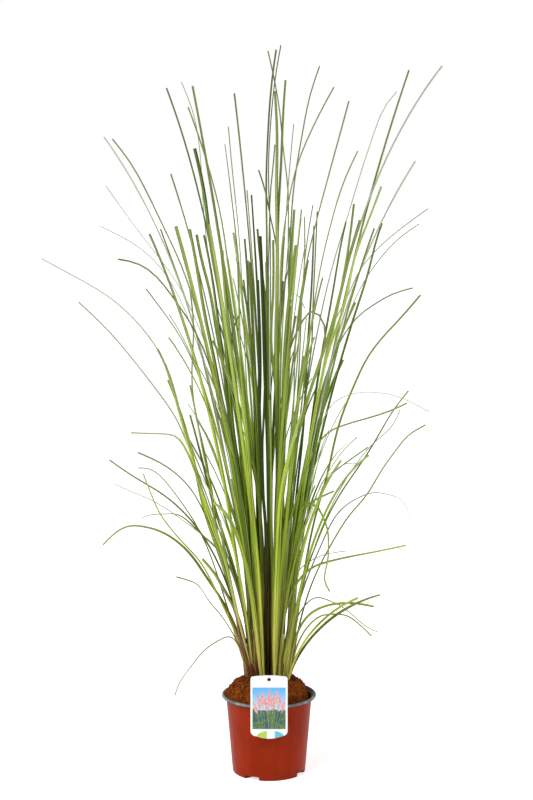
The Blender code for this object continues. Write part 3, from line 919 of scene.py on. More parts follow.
def blade_faces(blades, rings):
    """Quads along each blade, and two triangles and two quads over each end."""
    corners = len(SECTION_ACROSS)
    step = rings * corners * np.arange(blades)[:, None, None]
    quads = ring_quads(rings, corners)[:, ::-1]
    last = (rings - 1) * corners
    three = np.array(((0, 1, 7), (3, 4, 5)))
    four = np.array(((1, 2, 6, 7), (2, 3, 5, 6)))
    threes = np.concatenate((three, three[:, ::-1] + last))
    fours = np.concatenate((quads, four, four[:, ::-1] + last))
    return [(fours[None] + step).reshape(-1, 4), (threes[None] + step).reshape(-1, 3)]


def add_blades(name, path, side, width, end, roll, shares):
    """Join blades in one object, with U across, V along and the four shares on every point."""
    blades, rings = path.shape[:2]
    points = blade_points(path, side, width, end, roll)
    shape = points.shape[:3]
    across = np.broadcast_to((SECTION_ACROSS + 1) / 2, shape)
    whole = np.where(end > 0.5, CUT_ALONG, 1.0)[:, None, None]
    along = np.broadcast_to(np.linspace(0, 1, rings)[None, :, None] * whole, shape)
    uv = np.stack((across, along), axis=-1).reshape(-1, 2)
    colour = np.broadcast_to(shares[:, None, None, :], (*shape, 4))
    faces = blade_faces(blades, rings)
    return add_mesh(name, points, faces, [leaf_material], uv=uv, blade=colour, sharp=28)


print("a blade's section has", len(SECTION_ACROSS), "corners")

# %% [markdown]
# ## The main leaves
# Each of the 55 leaves of the CAD model follows the same rule here as there, with far more rings.
# Its lean from upright grows along its length, and the curve is turned and scaled so that it ends
# at its tip. Where the photograph shows a leaf clearly, its row also has the pixels that it
# passes, and the fine blade follows them in the plane of the plain one that it replaces. It is as
# thin as it looks there, and upright blades bend a little to leave the white gaps between them.

# %% Rows of the main leaves, and their curve
CROWN_HEIGHT = 186 * MM
GAP = 0.3 * MM
RING_RADII = {"outer": 41 * MM, "middle": 31 * MM, "inner": 20 * MM, "heart": 9 * MM}
LEAF_RINGS = 44
FINE_STEPS = 8
TURNED_AT_BASE = 0.5

# ring, turn from the right seen from above, reach and height of the tip in metres, bend in
# degrees, lateness of the bend, width in mm, twist in degrees, ending, kind, and the pixels across
# and down that some leaves pass in the photograph, from the soil to the tip
LEAF_ROWS = (
    "outer 335 0.192 0.374 50 1 10 40 cut bright",
    "outer 350 0.31 0.712 48 2 5.5 -55 point pale 318,570 334,540 351.6,513 364.6,498 382,470 397,449 "
    "408,436 425.7,425",
    "outer 8 0.226 0.354 60 0.9 8.5 50 point seeded",
    "outer 25 0.315 0.756 32 1 7 -70 point seeded 305,575 318,540 326.6,519.7 345,487 361.3,463.3 "
    "377.6,437.2 393.9,410 408.5,391",
    "outer 42 0.41 0.462 140 1.9 3.5 40 point faint 303,590 323.4,540 336.4,515.3 347.2,504.5 358,498 "
    "375.4,492.6 388.5,494.7 401.5,500 411,518.6",
    "outer 62 0.36 0.62 62 2.2 9 -40 point seeded",
    "outer 80 0.42 0.8 50 2 10.5 55 point seeded",
    "outer 98 0.33 0.5 85 2 9 -50 point seeded",
    "outer 116 0.4 0.7 50 1.8 10.5 65 point seeded",
    "outer 134 0.392 0.464 95 1.9 4.5 -40 point pale 238,600 225,560 200,533 177.4,514.7 163.6,514.2 "
    "152,514.7 142,518",
    "outer 152 0.364 0.557 50 1.6 4.5 40 point pale 240,600 218.7,549.7 194.6,529 165.9,508.4 152,500.4 "
    "136,493.5 114.5,484",
    "outer 170 0.326 0.626 45 2.2 5 -65 point purple 232,600 216.4,560 200.4,532.5 184.3,513 161.3,493.5 "
    "134.9,477.4 109.4,460",
    "outer 187 0.33 0.471 130 2.8 10.5 50 point purple 232,620 217.6,594.5 205,576 193.5,559 182,546.3 "
    "157.9,530.8 143,526.8 130.3,526.2 103,545",
    "outer 204 0.276 0.667 46 2.5 6 -55 point flushed 228,580 217,545 205,515.3 191.2,490 171.7,470.5 "
    "161.3,463.6 149.9,457.9 138,452.6",
    "outer 226 0.365 0.727 88 5 6.5 40 point tan 231,581 211,516 197,477 186,450 176,437 161,434 131,433",
    "outer 236 0.308 0.456 75 1.3 6 -50 point flushed 232,632 220,614 208.4,600 198,585.3 188.9,580.7 "
    "176.5,577",
    "outer 250 0.3 0.6 58 2 10.5 55 point seeded",
    "outer 284 0.25 0.76 40 2 10.5 -40 point bright",
    "outer 300 0.32 0.72 50 2 7 50 point seeded",
    "outer 316 0.261 0.673 45 2.5 6 -65 point seeded",
    "middle 1 0.297 0.962 40 2.2 5.5 85 point green 303,580 317,511 326.6,477.4 338.6,426.4 353.8,386 "
    "369.8,354 402,316.4 420.5,295",
    "middle 33 0.392 1.126 50 3.8 4.5 -85 point faint 305,470 322,380 336,319 347,298 358.5,273 371,256 "
    "396.4,232.3 428.2,208.7",
    "middle 53 0.3 0.93 34 2 8 70 cut seeded",
    "middle 73 0.26 1.05 25 2 7 -85 cut seeded",
    "middle 90 0.35 0.98 40 2.5 7 75 point seeded",
    "middle 108 0.28 1.02 28 2.2 11.5 -70 cut seeded",
    "middle 126 0.36 0.9 42 2.4 9 65 point seeded",
    "middle 143 0.318 0.961 40 3 5 85 point pale 235,520 216,430 196,370 183,342 164,313 146,289",
    "middle 162 0.487 1.026 64 3 3.5 -75 point faint 230,560 209,490 184,426 168,370 142,328 106,295 "
    "81,280 41.5,258.7",
    "middle 177 0.297 1.031 70 4.2 5.5 70 point dark 240,520 221,400 209.7,366 191.8,326 172.2,296.5 "
    "149.8,271 138,264 118,259.3",
    "middle 196 0.378 0.956 40 2.1 4 -85 point faint 225,550 195,465 186,441 175,417 158,392 134,361 "
    "109,331.5 78.5,302",
    "middle 214 0.27 1.087 18 2 8 75 point seeded",
    "middle 232 0.3 0.9 36 2 7 -65 cut seeded",
    "middle 252 0.24 0.9 30 2 9 70 point seeded",
    "middle 293 0.25 1.01 26 2.2 9 -75 point seeded",
    "middle 307 0.317 1.1 16 2 8 85 cut seeded",
    "middle 340 0.326 0.746 88 5 2.5 -70 point faint 303,540 313,470 321.2,425 335,402 350.5,394.5 "
    "372.2,392.2 404.7,399.3 429,412",
    "inner 16 0.357 1.41 32 3 5.5 105 point faint",
    "inner 40 0.377 1.409 14 1.5 9 -100 point green",
    "inner 80 0.3 1.3 22 2 6 90 point seeded",
    "inner 112 0.243 1.258 14 2 9 -105 point seeded",
    "inner 136 0.28 1.197 18 2 6 100 point pale",
    "inner 158 0.358 1.271 30 2.4 4.5 -90 point faint",
    "inner 184 0.198 1.362 16 3 5.2 110 point dark",
    "inner 206 0.198 1.099 11 1 11 -85 cut bright",
    "inner 242 0.235 1.107 14 1.1 10 75 cut bright",
    "inner 292 0.16 1.133 14 1.1 8.5 -85 cut green",
    "inner 315 0.207 1.335 18 2 5 100 point pale 283,540 289,420 300,300 311.9,240 324.7,190.5 332.3,162.4 "
    "340,134.4 349,101",
    "inner 346 0.287 1.222 26 2.4 5 -105 point faint",
    "heart 15 0.102 1.407 14 2.5 5 120 point pale 283,500 287,380 289.5,270 291.5,212 295.4,174 303,129.3 "
    "309.4,97.4 319.5,66",
    "heart 75 0.093 1.449 10 1.2 5.5 -110 point dark 272,480 270.5,330 269.8,218.6 268.6,167.6 269.8,137 "
    "272.4,104 275,81 281,45.4",
    "heart 135 0.097 1.355 10 1.2 6 105 point dark",
    "heart 200 0.155 1.364 9 1 8 -120 point green",
    "heart 255 0.127 1.159 9 1 10.5 85 cut deep",
    "heart 315 0.05 1.378 4 1 7.5 -85 cut dark 277,480 277.5,330 278.8,199.4 280.7,167.6 282,137 283.2,111 "
    "285.4,80",
)


def read_rows(lines, columns):
    """Each line's words, as numbers where they are numbers, and then an array of its pixels."""
    rows = []
    for line in lines:
        words = line.split()
        values = [word if word[0].isalpha() else float(word) for word in words[:columns]]
        rows.append((*values, np.array([pair.split(",") for pair in words[columns:]], dtype=float)))
    return rows


LEAVES = read_rows(LEAF_ROWS, 10)


def leaf_curve(start, tip, bend, lateness):
    """Radius and height along a blade whose lean is first + bend x share ** lateness.

    The sines and cosines of the lean are added up at unit length. The result is turned and
    scaled so that it runs from the start to the tip.
    """
    fine = np.linspace(0.0, 1.0, FINE_STEPS * (LEAF_RINGS - 1) + 1)
    lean = math.radians(bend) * fine**lateness
    step = fine[1]
    across = np.concatenate(([0.0], np.cumsum((np.sin(lean[1:]) + np.sin(lean[:-1])) * step / 2)))
    up = np.concatenate(([0.0], np.cumsum((np.cos(lean[1:]) + np.cos(lean[:-1])) * step / 2)))
    run, rise = tip[0] - start[0], tip[1] - start[1]
    first = math.atan2(run, rise) - math.atan2(across[-1], up[-1])
    scale = math.hypot(run, rise) / math.hypot(across[-1], up[-1])
    radius = start[0] + scale * (across * math.cos(first) + up * math.sin(first))
    height = start[1] + scale * (up * math.cos(first) - across * math.sin(first))
    return radius[::FINE_STEPS], height[::FINE_STEPS]


def smooth_path(places, count):
    """Natural cubic spline through places, at even steps of length.

    Between two places the curve is a cubic. Slope and curvature match where two cubics meet,
    and the curvature is nothing at both ends, which gives one linear equation for each place.
    """
    passed = passed_along(places)
    gap = np.diff(passed)
    slope = np.diff(places, axis=0) / gap[:, None]
    inner = np.arange(1, len(places) - 1)
    matrix = np.eye(len(places))
    matrix[inner, inner - 1] = gap[:-1]
    matrix[inner, inner] = 2 * (gap[:-1] + gap[1:])
    matrix[inner, inner + 1] = gap[1:]
    wanted = np.zeros((len(places), 3))
    wanted[1:-1] = 6 * np.diff(slope, axis=0)
    bending = np.linalg.solve(matrix, wanted)
    at = np.linspace(0, passed[-1], count)
    span = np.clip(np.searchsorted(passed, at, side="right") - 1, 0, len(gap) - 1)
    after = ((at - passed[span]) / gap[span])[:, None]
    before = 1 - after
    curved = (before**3 - before) * bending[span] + (after**3 - after) * bending[span + 1]
    return before * places[span] + after * places[span + 1] + curved * gap[span][:, None] ** 2 / 6


def in_plane(px, py, turn):
    """Where the rays through pixels meet the upright plane through the pot's axis at a turn.

    A ray is base + k x away, and n is the plane's normal, so k = -(n . base) / (n . away).
    """
    base, further = on_ray(px, py, 0.0), on_ray(px, py, 1.0)
    away = further - base
    angle = math.radians(turn)
    normal = np.array((-math.sin(angle), math.cos(angle), 0.0))
    return base - away * ((base @ normal) / (away @ normal))[:, None]


# the narrow white gaps that the photograph shows between the stems: the middle's pixels across
# and down, the half width and the half height
GAPS = np.array((
    (262.6, 405, 0.5, 16), (264.4, 471, 0.9, 14), (262.8, 517, 0.9, 20), (274.0, 485, 1.3, 34),
    (254.2, 490, 1.4, 27), (287.8, 441, 2.0, 28), (285.5, 491, 1.6, 18), (306.3, 442, 1.8, 18),
    (236.5, 436, 0.9, 13), (227.7, 462, 0.9, 14), (242.5, 573, 2.2, 22), (240.6, 613, 2.2, 12),
    (286.5, 621, 1.4, 15),
))
GAP_SHARE = 0.40
STEEP = 0.45
NEAR_GAP = 12
MOST_MOVED = 3.0


def round_gaps(paths, width):
    """Bends upright blades gently to the side, by what each one covers of a gap.

    At the gap's height, covered = half gap + half blade - distance, if that is above 0, and
    the blade goes to the side where it is. Higher and lower the move fades by
    exp(-(dy / (2 x half height + 20)) ** 2), and where gaps share a blade their moves are averaged.
    """
    each = np.arange(len(paths))[:, None]
    last = paths.shape[1] - 1
    for _ in range(3):
        across, down = seen_at(paths)
        dy = down[..., None] - GAPS[:, 1]
        nearest = np.abs(dy).argmin(axis=1)
        after, before = np.minimum(nearest + 1, last), np.maximum(nearest - 1, 0)
        slope = across[each, after] - across[each, before]
        slope = slope / (down[each, after] - down[each, before] + 1e-6)
        dx = across[each, nearest] - slope * (down[each, nearest] - GAPS[:, 1]) - GAPS[:, 0]
        scale = (paths[..., 1] - CAMERA_PLACE[1]) / FOCAL_PIXELS
        reach = GAPS[:, 2] + width[:, None] * GAP_SHARE / scale[each, nearest]
        passes = (np.abs(slope) < STEEP) & (np.abs(dy).min(axis=1) < NEAR_GAP)
        covered = np.clip(reach - np.abs(dx), 0, MOST_MOVED) * passes
        weight = np.exp(-((dy / (2 * GAPS[:, 3] + 20)) ** 2)) * (covered[:, None, :] > 0)
        move = (weight * (np.where(dx < 0, -1, 1) * covered)[:, None, :]).sum(axis=-1)
        paths[..., 0] += move / np.maximum(weight.sum(axis=-1), 1) * scale
    return paths


def leaf_arrays(rows, rng, sway):
    """Path, side, width, end and roll of leaves from their rows, for add_blades.

    sway moves the middle of each blade sideways by a seeded half wave and whole wave.
    """
    share = np.linspace(0, 1, LEAF_RINGS)
    paths, sides, rolls = [], [], []
    for ring, turn, reach, height, bend, lateness, _, twist, _ in rows:
        start = (RING_RADII[ring], CROWN_HEIGHT + GAP)
        radius, up = leaf_curve(start, (reach, height), bend, lateness)
        angle = math.radians(turn)
        outward = np.array((math.cos(angle), math.sin(angle), 0.0))
        sideways = np.array((-math.sin(angle), math.cos(angle), 0.0))
        waves = rng.normal(0, 1, 2) * sway
        wave = waves[0] * np.sin(math.pi * share) + waves[1] * 0.5 * np.sin(math.tau * share)
        path = outward * radius[:, None] + sideways * wave[:, None]
        path[:, 2] = up
        paths.append(path)
        sides.append(np.broadcast_to(sideways, path.shape))
        rolls.append(math.radians(twist) * (TURNED_AT_BASE + (1 - TURNED_AT_BASE) * share))
    width = np.array([row[6] for row in rows]) * MM
    end = np.array([ENDS[row[8]] for row in rows])
    return np.array(paths), np.array(sides), width, end, np.array(rolls)


# %% Make the main leaves
# tone, greyness, redness at the base and painted shade of each kind; other leaves get seeded shares
KINDS = {
    "green": (0.5, 0.0, 0.0, 0.0),
    "bright": (0.95, 0.0, 0.0, 0.0),
    "dark": (0.2, 0.0, 0.0, 0.28),
    "pale": (0.4, 0.35, 0.0, 0.15),
    "faint": (0.6, 1.0, 0.0, 0.0),
    "flushed": (0.5, 0.4, 1.0, 0.1),
    "purple": (0.35, 0.1, 1.0, 0.1),
    "tan": (0.9, 0.4, 0.25, 0.0),
    "deep": (0.1, 0.0, 0.6, 0.85),
}
LEAF_SWAY = 2.5 * MM
leaf_random = np.random.default_rng(5)
path, side, width, end, roll = leaf_arrays([row[:9] for row in LEAVES], leaf_random, LEAF_SWAY)
tones = np.clip(leaf_random.normal(0.5, 0.45, len(LEAVES)), 0.0, 1)
reds = (leaf_random.uniform(0, 1, len(LEAVES)) > 0.8) * 1.0
# seeded painted shade on some of the main leaves
painted_shades = np.clip(leaf_random.normal(-0.25, 0.35, len(LEAVES)), 0, 0.8)
shares = np.stack((tones, 0 * tones, reds, painted_shades), axis=-1)
for number, (_, turn, *_, kind, pixels) in enumerate(LEAVES):
    shares[number] = KINDS.get(kind, shares[number])
    if len(pixels):
        places = np.concatenate((path[number][:1], in_plane(*pixels.T, turn)))
        path[number] = smooth_path(places, LEAF_RINGS)
path = round_gaps(path, width)
for number in range(len(LEAVES)):
    one = slice(number, number + 1)
    arrays = (array[one] for array in (path, side, width, end, roll, shares))
    leaf = add_blades(f"blade_{number + 1:02d}", *arrays)
    place_piece(leaf, "leaf", f"leaf_{number + 1:02d}")

# %% [markdown]
# ## The traced blades
# The blades between the main leaves give the clump its outline: thin ones with hair tips, broad
# ones cut square, and a few that bend over. Each row holds the places that were read in the
# photograph, from the soil to the tip, and a natural cubic spline joins them, because grass bends
# evenly. The depth of the tip is a guess that spreads the blades to the front and the back.

# %% Rows of the traced blades
# width in mm, ending, kind, depth of the tip in mm from the pot's axis (the back is positive),
# the root's pixel across, and the pixels that the blade passes
TRACED = {
    "upper_left": (
        "2 point faint 120 255 228,420 200,330 175,280 150,246 125,213 106,186",
        "2 point faint 100 254 222,430 196,340 170,281 145,252 122,237 100,226",
        "4 point green -60 258 254,532 246,400 228,265 220.5,215 210,173 198.5,136 188,107",
        "2.5 point pale 90 257 248,532 232,400 215,300 203,200 192,109 181.5,82",
        "9 cut dark -70 254 246,532 237,450 229,379 221,302 211,246 204,192 194.6,148.4",
        "4.8 point pale -90 251 240,500 222,400 205,340 180,263 161,222 144,187 129,161 112.3,139",
        "4 point green 110 252 230,480 210,390 195,330 184,294 174,266 160.5,229",
        "8 cut green -40 253 244.5,532 239.6,482 229.6,433 220,391 214,359 206,321 195,257 189.6,229",
        "8 cut green 60 257 249,560 240,470 226,380 215,321 210,292 202,261 196.7,234.5",
        "5 point green 40 260 253,560 244,470 232,360 224,283 219.4,236",
        "7 cut bright -50 263 260,520 256,420 251,359 244,315 239,271 233.2,232.5",
        "5.5 cut dark 20 264 259,530 255,420 251,340 249,315 247.6,279 244.7,238.8",
        "7 cut green -20 269 269,500 268,380 265,296 261,264 257.6,228.8",
        "4 point dark 70 271 275,420 276,300 275,238 271,220 266,194 258.6,170",
    ),
    "upper_centre": (
        "3.5 point green 40 265 262,480 258,350 251,240 247,190",
        "3.5 point pale 70 283 292,480 300,350 306,250 313,205",
        "3 point pale -80 262 252,470 244,330 238.6,231 234.1,186.7 230.3,148.4 228.4,126.7",
        "3.5 point green 120 278 284,500 288,380 288.5,290 288.3,231 287.7,186.7 283.2,148.4 280,114 "
        "272.4,70.6 267.9,50.8",
        "5 point dark -30 267 264.5,400 266.5,300 266.7,231 266.3,174 267.5,142 269.8,103.8 273,71.9 "
        "276.2,49.6",
        "9.5 point bright -30 275 280,540 279.5,450 277,380 277,300 277.3,240 276.5,200 276.7,168 277,135 "
        "274.9,91",
        "4 point dark -60 268 268,420 268,300 269.8,212 270.5,193 273,167.6 275,144.6",
        "7.5 cut bright 50 275 279,540 284,420 288,330 291,265 294.4,209.5",
        "3.5 cut green -60 277 280,540 285,470 289,410 290.5,368 291.2,326 292.6,291 295.4,263 301,218.6",
        "3 cut green -90 279 283,540 287,470 290,410 294,382 298.2,340 301,305 304,270 304.5,216.7",
        "4 cut green 80 281 290,540 297,470 303.8,420 308,375 310.9,354 313,312 314.7,270 317.3,211",
    ),
    "upper_right": (
        "3.4 point green -50 276 278,560 279,450 280.5,330 282.6,240 287.7,206 297.3,165 311.9,129.3 "
        "323.4,106.3 334,87",
        "3.4 point pale -100 281 289,540 299,430 312,320 322,261 332,220 344,181.5 357.8,151",
        "3.2 point faint 130 281 290,500 305,400 322,310 334,261 349,212 363,166 373,136 388,102 "
        "396.8,91.6",
        "7 cut bright -90 283 299,532 309,449 316,408 332,341 346,300 353,265 370,217 381.5,186.6",
        "6.5 cut bright -60 282 300,480 316,400 335,320 346,263 351,229 354,204",
        "7 cut dark 70 285 299,540 315,460 335,380 356,310 370,265 376,241 382,223",
        "2.5 point pale -160 284 322,410 345,325 362,285 378,261 400,237.5 418.8,224",
        "7.5 cut green -60 280 282.7,532 291,466 307.5,399.5 324,350 339,300 348,262 360,220",
    ),
    "core": (
        "9.5 cut deep -36 268.3 269.5,640 271,600 270.5,560 269,520 268.3,470 267.3,430 265.3,380 "
        "263.5,320 260,236",
        "7 point deep -30 266 265.5,640 264,590 261,540 258.5,480 258.8,430 260.3,380 260,330 258,280",
        "5 cut tan -50 271 272,640 273,590 272,540 271.3,500 271,450 269.5,400",
        "5.5 cut purple -44 270.5 271.5,620 272,580 270.5,540 269,470 269,400 268,330 266,262",
        "5.5 cut green 60 275 276.5,600 277.3,540 278.5,480 277.5,420 278.5,350 281,290 284,236",
        "9 cut green -40 275 277,540 282,449 284,366 289,300 296,245",
        "8 cut green 40 264.5 263.5,640 262,600 259,540 259.5,492 258,440 256,400 253,330 250,262",
        "7 cut green -10 279 284,540 281,466 277.7,433 276,393 271,341.5 272.7,300 273,240",
        "6.5 point bright -70 262 252,500 246,416 241,370 239.6,325 238,262",
        "5.5 cut dark 90 281 296,500 304,420 307.5,350 310.9,300 314,226",
        "8.5 cut bright -30 256 249,540 241,440 234,370 226,300 222,250",
        "7 cut tan -38 258 255,600 250,500 245,440",
        "4.5 point dark -50 266 264.5,600 263.5,540 262,505 259.5,470 256.5,430 253,380 249,320",
        "5 point green -110 277 280,520 282.7,424 286,393 289,353 302,322 312,311 322,319 325,334 "
        "325.6,347",
        "2.5 point dark -60 275 281,480 284,400 288,320 295.7,293 304.6,308",
        "4.5 point dark -60 258 246,480 236,420 230.4,358 234.6,325 241,311.6",
        "8 cut tan -50 261 259.5,620 255,560 250,500 247,460",
        "7 cut tan -54 279 281.5,640 284,600 287,555 290,520",
        "5 point purple -58 276.5 278,640 280,600 282,560 284,530",
    ),
    "left": (
        "8 point dark -55 258 247,600 241.5,540 236.5,490 232.3,450 228.5,410 224,370 218,320 210,265 "
        "204,235",
        "7 point bright -80 249 241,630 228,575 217.5,540 209,516 199,480 187.6,441.7 179,411 171,383 "
        "164,362 157.5,349",
        "11 cut purple -60 247 243.5,650 239.3,628 234.8,602",
        "5 point green 60 253 240,575 232,540 222,508 207,471.7 188,437.6",
        "6 point purple -48 254 246,560 239,529 224,484.5 213.5,450 196.5,418",
        "7 point green 20 252 244,620 231,560 220,525 209,488 200,452 190,415",
        "3 point pale 90 250 222,590 199,530 179,499 165,481 158,474 149,469 138,468",
        "5 point green -60 250 238,640 220,600 196,557 182,542 170,528 160,514 153,499 147,484 143,473.5",
        "3.5 point pale -110 248 240,650 229,637 219,640.5 204,651 190,668 178,686.5 175,695.6",
        "7.5 cut flushed -60 249 236,612 222,586 215.5,575 202.3,559",
        "8.5 point purple -52 249.5 243,643 234.6,602 226,560 220,520",
        "4 point green 40 252 236,600 217,533 205.5,456 196,416 192,371 193.5,325 190,290",
        "5.5 point green -30 253 232,590 216,527 213,500 204,456 197,420 190,385",
        "8 point bright 70 251 225,571 214,539 204,508 197,476 189,441 180,411 168,380",
    ),
    "right": (
        "7 point dark 60 282 297,560 303,500 309,440 314.5,400 321,360 328,320 335,280 341,245 346,222",
        "8.5 point green -50 285 293,640 299,600 304,575 308.5,552",
        "4 point green 90 284 298,510 312,430 330,365 350,326 361,314 375,304 393,294 412.8,288",
        "2 point pale -90 284 325,520 352,470 376,441 391.6,426.5 400,410",
        "4.5 point green -80 282 296,500 308,465 319,442 334,429 340,426.5 392,410 407,403",
        "5.5 point green -90 280 290,585 299,525 307,504 315,505 323,517 327.6,529 328.7,543 327.7,563 "
        "325.5,581 331,591.6",
        "5 cut green -60 279 288,590 297,530 308,505 321,497 334,491",
        "5.5 point green 110 283 304,540 318,500 328,478 340,467 368,447",
        "2 point pale -70 283 300,540 314,505 327,476 336.5,469 347,463.5 359,464",
        "5.5 point green -100 280 285,625 297,585 312.5,568 328,562 349,557 375,552 406,545.5",
        "2 point pale 60 279 286,620 300,570 316,558 346,551",
        "5.5 cut green -90 288 292,652 299.5,628 310,614 325.5,606 338.5,603.5 356,603.5 374,606.5",
        "3 point pale 70 286 293,630 306,604 316,597.5 328,600 341,606 356,618 369,628 378,632",
        "5.5 point green 50 289 296,648 308,626 323,615 334,614 345,615 358,623 371.6,636",
    ),
}
TRACED_RINGS = 42
TRACED_WIDER = 0.4 * MM
ROLL_LIMIT = 0.6
ROOT_HEIGHT = 180 * MM
ROOT_RING = 46 * MM
ROOT_NEAREST = 4 * MM
ROOT_PIXEL_Y = 675
FULL_DEPTH = 260 * MM
DEPTH_POWER = 1.4


def traced_path(tip_depth, root_px, pixels):
    """Depth goes from the root's to the tip's with the share of length, to a power."""
    tip_depth = tip_depth * MM
    root_x = on_ray(root_px, ROOT_PIXEL_Y, 0.0)[0]
    lean = np.clip(tip_depth / FULL_DEPTH, -1, 1)
    root_y = math.sqrt(max(ROOT_RING**2 - root_x**2, ROOT_NEAREST**2)) * lean
    seen = np.concatenate((((root_px, ROOT_PIXEL_Y),), pixels))
    passed = passed_along(seen)
    depth = root_y + (tip_depth - root_y) * (passed / passed[-1]) ** DEPTH_POWER
    places = on_ray(seen[:, 0], seen[:, 1], depth)
    places[0] = (root_x, root_y, ROOT_HEIGHT)
    return smooth_path(places, TRACED_RINGS)


def traced_arrays(rows, rng):
    """A front blade's inner side faces the back and a back blade's the front, then a seeded roll."""
    widths, endings, kinds, depths, roots, pixels = zip(*rows)
    paths = np.array([traced_path(*row) for row in zip(depths, roots, pixels)])
    facing = np.zeros((len(rows), 1, 3))
    facing[:, 0, 1] = np.where(np.array(depths) > 0, -1.0, 1.0)
    side = unit(np.cross(facing, np.gradient(paths, axis=1)))
    share = np.linspace(0, 1, TRACED_RINGS)[None, :]
    start = rng.normal(0, 0.3, (len(rows), 1))
    roll = np.clip(start + rng.normal(0, 0.45, (len(rows), 1)) * share, -ROLL_LIMIT, ROLL_LIMIT)
    width = np.array(widths) * MM + TRACED_WIDER
    end = np.array([ENDS[ending] for ending in endings])
    shares = np.array([KINDS[kind] for kind in kinds])
    shares[:, 0] = np.clip(shares[:, 0] + rng.normal(0, 0.12, len(rows)), 0, 1)
    return round_gaps(paths, width), side, width, end, roll, shares


# %% Make the traced blades
traced_random = np.random.default_rng(23)
for region, lines in TRACED.items():
    rows = read_rows(lines, 5)
    bundle = add_blades(f"blades_{region}", *traced_arrays(rows, traced_random))
    place_piece(bundle, "leaf")

# %% [markdown]
# ## The blades that fill the clump
# The photograph shows one side. So that the back and the sides are as full, more blades follow the
# main leaves' rule, with seeded turns, reaches and bends. Short dead sheaths stand round the base.

# %% Make the filling blades
FILLING = 54
SHEATHS = 30
FRONT_CLEAR = 24
GOLDEN_TURN = 137.5
fill_random = np.random.default_rng(41)


def clear_of_middle(turn):
    """The dark middle of the clump stays in view, so what would stand before it goes behind."""
    return turn + 180 if abs(turn - 270) < FRONT_CLEAR else turn


def filling_rows(rng):
    """Tall blades stand near the heart and lean little, and short ones stand outside and arch.

    The photograph shows the blades at the sides, so these lean less the more they point there.
    """
    rows = []
    for number in range(FILLING):
        turn = clear_of_middle((number * GOLDEN_TURN + rng.uniform(-12, 12)) % 360)
        inner = number % 3 == 0
        ring = "inner" if inner else "middle" if number % 3 == 1 else "outer"
        sideways = abs(math.cos(math.radians(turn)))
        height = rng.uniform(0.8, 1.1) if inner else rng.uniform(0.55, 0.95)
        reach = (rng.uniform(0.08, 0.26) if inner else rng.uniform(0.18, 0.36)) * (1 - 0.6 * sideways)
        bend = rng.uniform(6, 20) if inner else rng.uniform(10, 42)
        ending = "cut" if rng.uniform() < 0.3 else "point"
        late, wide, twist = rng.uniform(1.2, 3.0), rng.uniform(3, 8.5), rng.uniform(-70, 70)
        rows.append((ring, turn, reach, height, bend, late, wide, twist, ending))
    return rows


def sheath_rows(rng):
    """Short broad stubs that hug the outer stems."""
    rows = []
    for number in range(SHEATHS):
        turn = clear_of_middle((number * GOLDEN_TURN + 40) % 360)
        ring = ("outer", "middle")[number % 2]
        height = CROWN_HEIGHT + rng.uniform(0.04, 0.17)
        reach = RING_RADII[ring] + (height - CROWN_HEIGHT) * rng.uniform(0.16, 0.34)
        bend, wide, twist = rng.uniform(2, 12), rng.uniform(6, 10), rng.uniform(-40, 40)
        rows.append((ring, turn, reach, height, bend, 1.5, wide, twist, "point"))
    return rows


for name, rows, tone, grey, red in (
    ("blades_filling", filling_rows(fill_random), 0.6, 0.05, 0.1),
    ("blades_sheaths", sheath_rows(fill_random), 0.7, 0.05, 0.45),
):
    count = len(rows)
    leftward = -np.cos(np.radians([row[1] for row in rows]))
    kinds = (
        np.clip(fill_random.normal(tone, 0.3, count), 0, 1),
        np.full(count, grey),
        np.clip(fill_random.normal(red, 0.3, count) + (leftward > 0.5) * red * 2, 0, 1),
        # seeded painted shade on some of the filling blades and sheaths
        np.clip(fill_random.normal(-0.1, 0.3, count), 0, 0.8),
    )
    arrays = leaf_arrays(rows, fill_random, 2 * LEAF_SWAY)
    round_gaps(arrays[0], arrays[2])
    bundle = add_blades(name, *arrays, np.stack(kinds, axis=-1))
    place_piece(bundle, "leaf")

# %% [markdown]
# ## Floor and light
# The photograph has a pure white ground and even light from large soft boxes. A pale floor runs
# to the horizon, and a white world meets it there. One large area light stands in front on the
# left, a weaker one on the right, one hangs over the back to edge the blades, and a wide sun lights
# them all from above.

# %% Floor, world and lights
FLOOR_HALF = 60.0
FLOOR_GLOW = 0.65
FRONT_LIGHT = 0.05
ROOM_LIGHT = 0.30


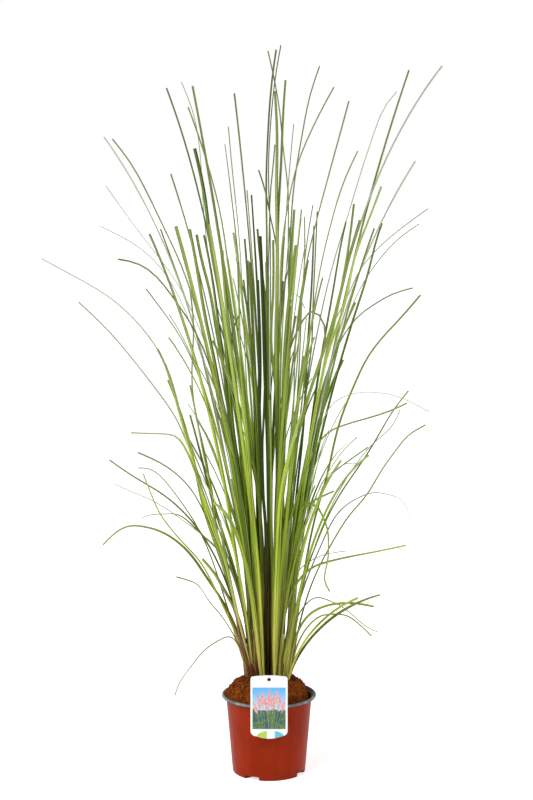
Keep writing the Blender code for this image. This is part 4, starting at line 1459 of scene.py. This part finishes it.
def make_floor():
    """A flat grid of floor points; it isn't part of the object."""
    side = np.linspace(-FLOOR_HALF, FLOOR_HALF, 5)
    x, y = np.meshgrid(side, side)
    points = np.stack((x, y, 0 * x), axis=-1).reshape(-1, 3)
    material, shader, place = new_material("pale_floor", 0.9, 0.0)
    pale = place.noise(0.6).step(0.3, 0.7).mix(srgb(250, 250, 250), srgb(252, 252, 252))
    fill(shader.inputs["Base Color"], pale)
    fill(shader.inputs["Emission Color"], (1, 1, 1, 1))
    fill(shader.inputs["Emission Strength"], FLOOR_GLOW)
    here = (np.arange(4)[:, None] * 5 + np.arange(4)).reshape(-1)
    faces = np.stack((here, here + 1, here + 6, here + 5), axis=-1)
    mesh = bpy.data.meshes.new("floor")
    mesh.from_pydata(points.tolist(), [], faces.tolist())
    mesh.materials.append(material)
    new_object("floor", mesh)


def add_light(name, place, aim, size, power):
    """A square area light that looks from its place at a point."""
    lamp = bpy.data.lights.new(name, "AREA")
    lamp.shape = "SQUARE"
    lamp.size = size
    lamp.energy = power
    obj = new_object(name, lamp)
    away = np.array(place) - np.array(aim)
    turn = math.atan2(away[0], -away[1])
    tilt = math.acos(away[2] / np.linalg.norm(away))
    obj.rotation_euler = (tilt, 0, turn)
    obj.location = place


make_floor()
world = bpy.data.worlds.new("white_room")
world.use_nodes = True
tree = world.node_tree
background = tree.nodes["Background"]
fill(background.inputs["Color"], (1, 1, 1, 1))
seen = Value(node(tree, "LightPath").outputs["Is Camera Ray"])
facing = Value(node(tree, "TexCoord").outputs["Generated"]).split()[1]
around = facing.step(-0.7, 0.3, FRONT_LIGHT, ROOM_LIGHT)
shown = node(tree, "Mix", {"Factor": seen, "A": around, "B": 1.0}).outputs["Result"]
fill(background.inputs["Strength"], Value(shown))
bpy.context.scene.world = world
bpy.context.scene.view_settings.view_transform = "Standard"
add_light("left_box", (-3.0, -1.3, 1.9), (0, 0, 0.6), 1.6, 36)
add_light("right_box", (3.0, -1.1, 1.7), (0, 0, 0.6), 1.6, 24)
add_light("back_box", (0.6, 2.4, 2.6), (0, 0, 0.9), 1.6, 12)
sun = new_object("top_light", bpy.data.lights.new("top_light", "SUN"))
sun.data.energy = 1.35
sun.data.angle = math.radians(28)
sun.rotation_euler = (math.radians(42), 0, math.radians(-38))
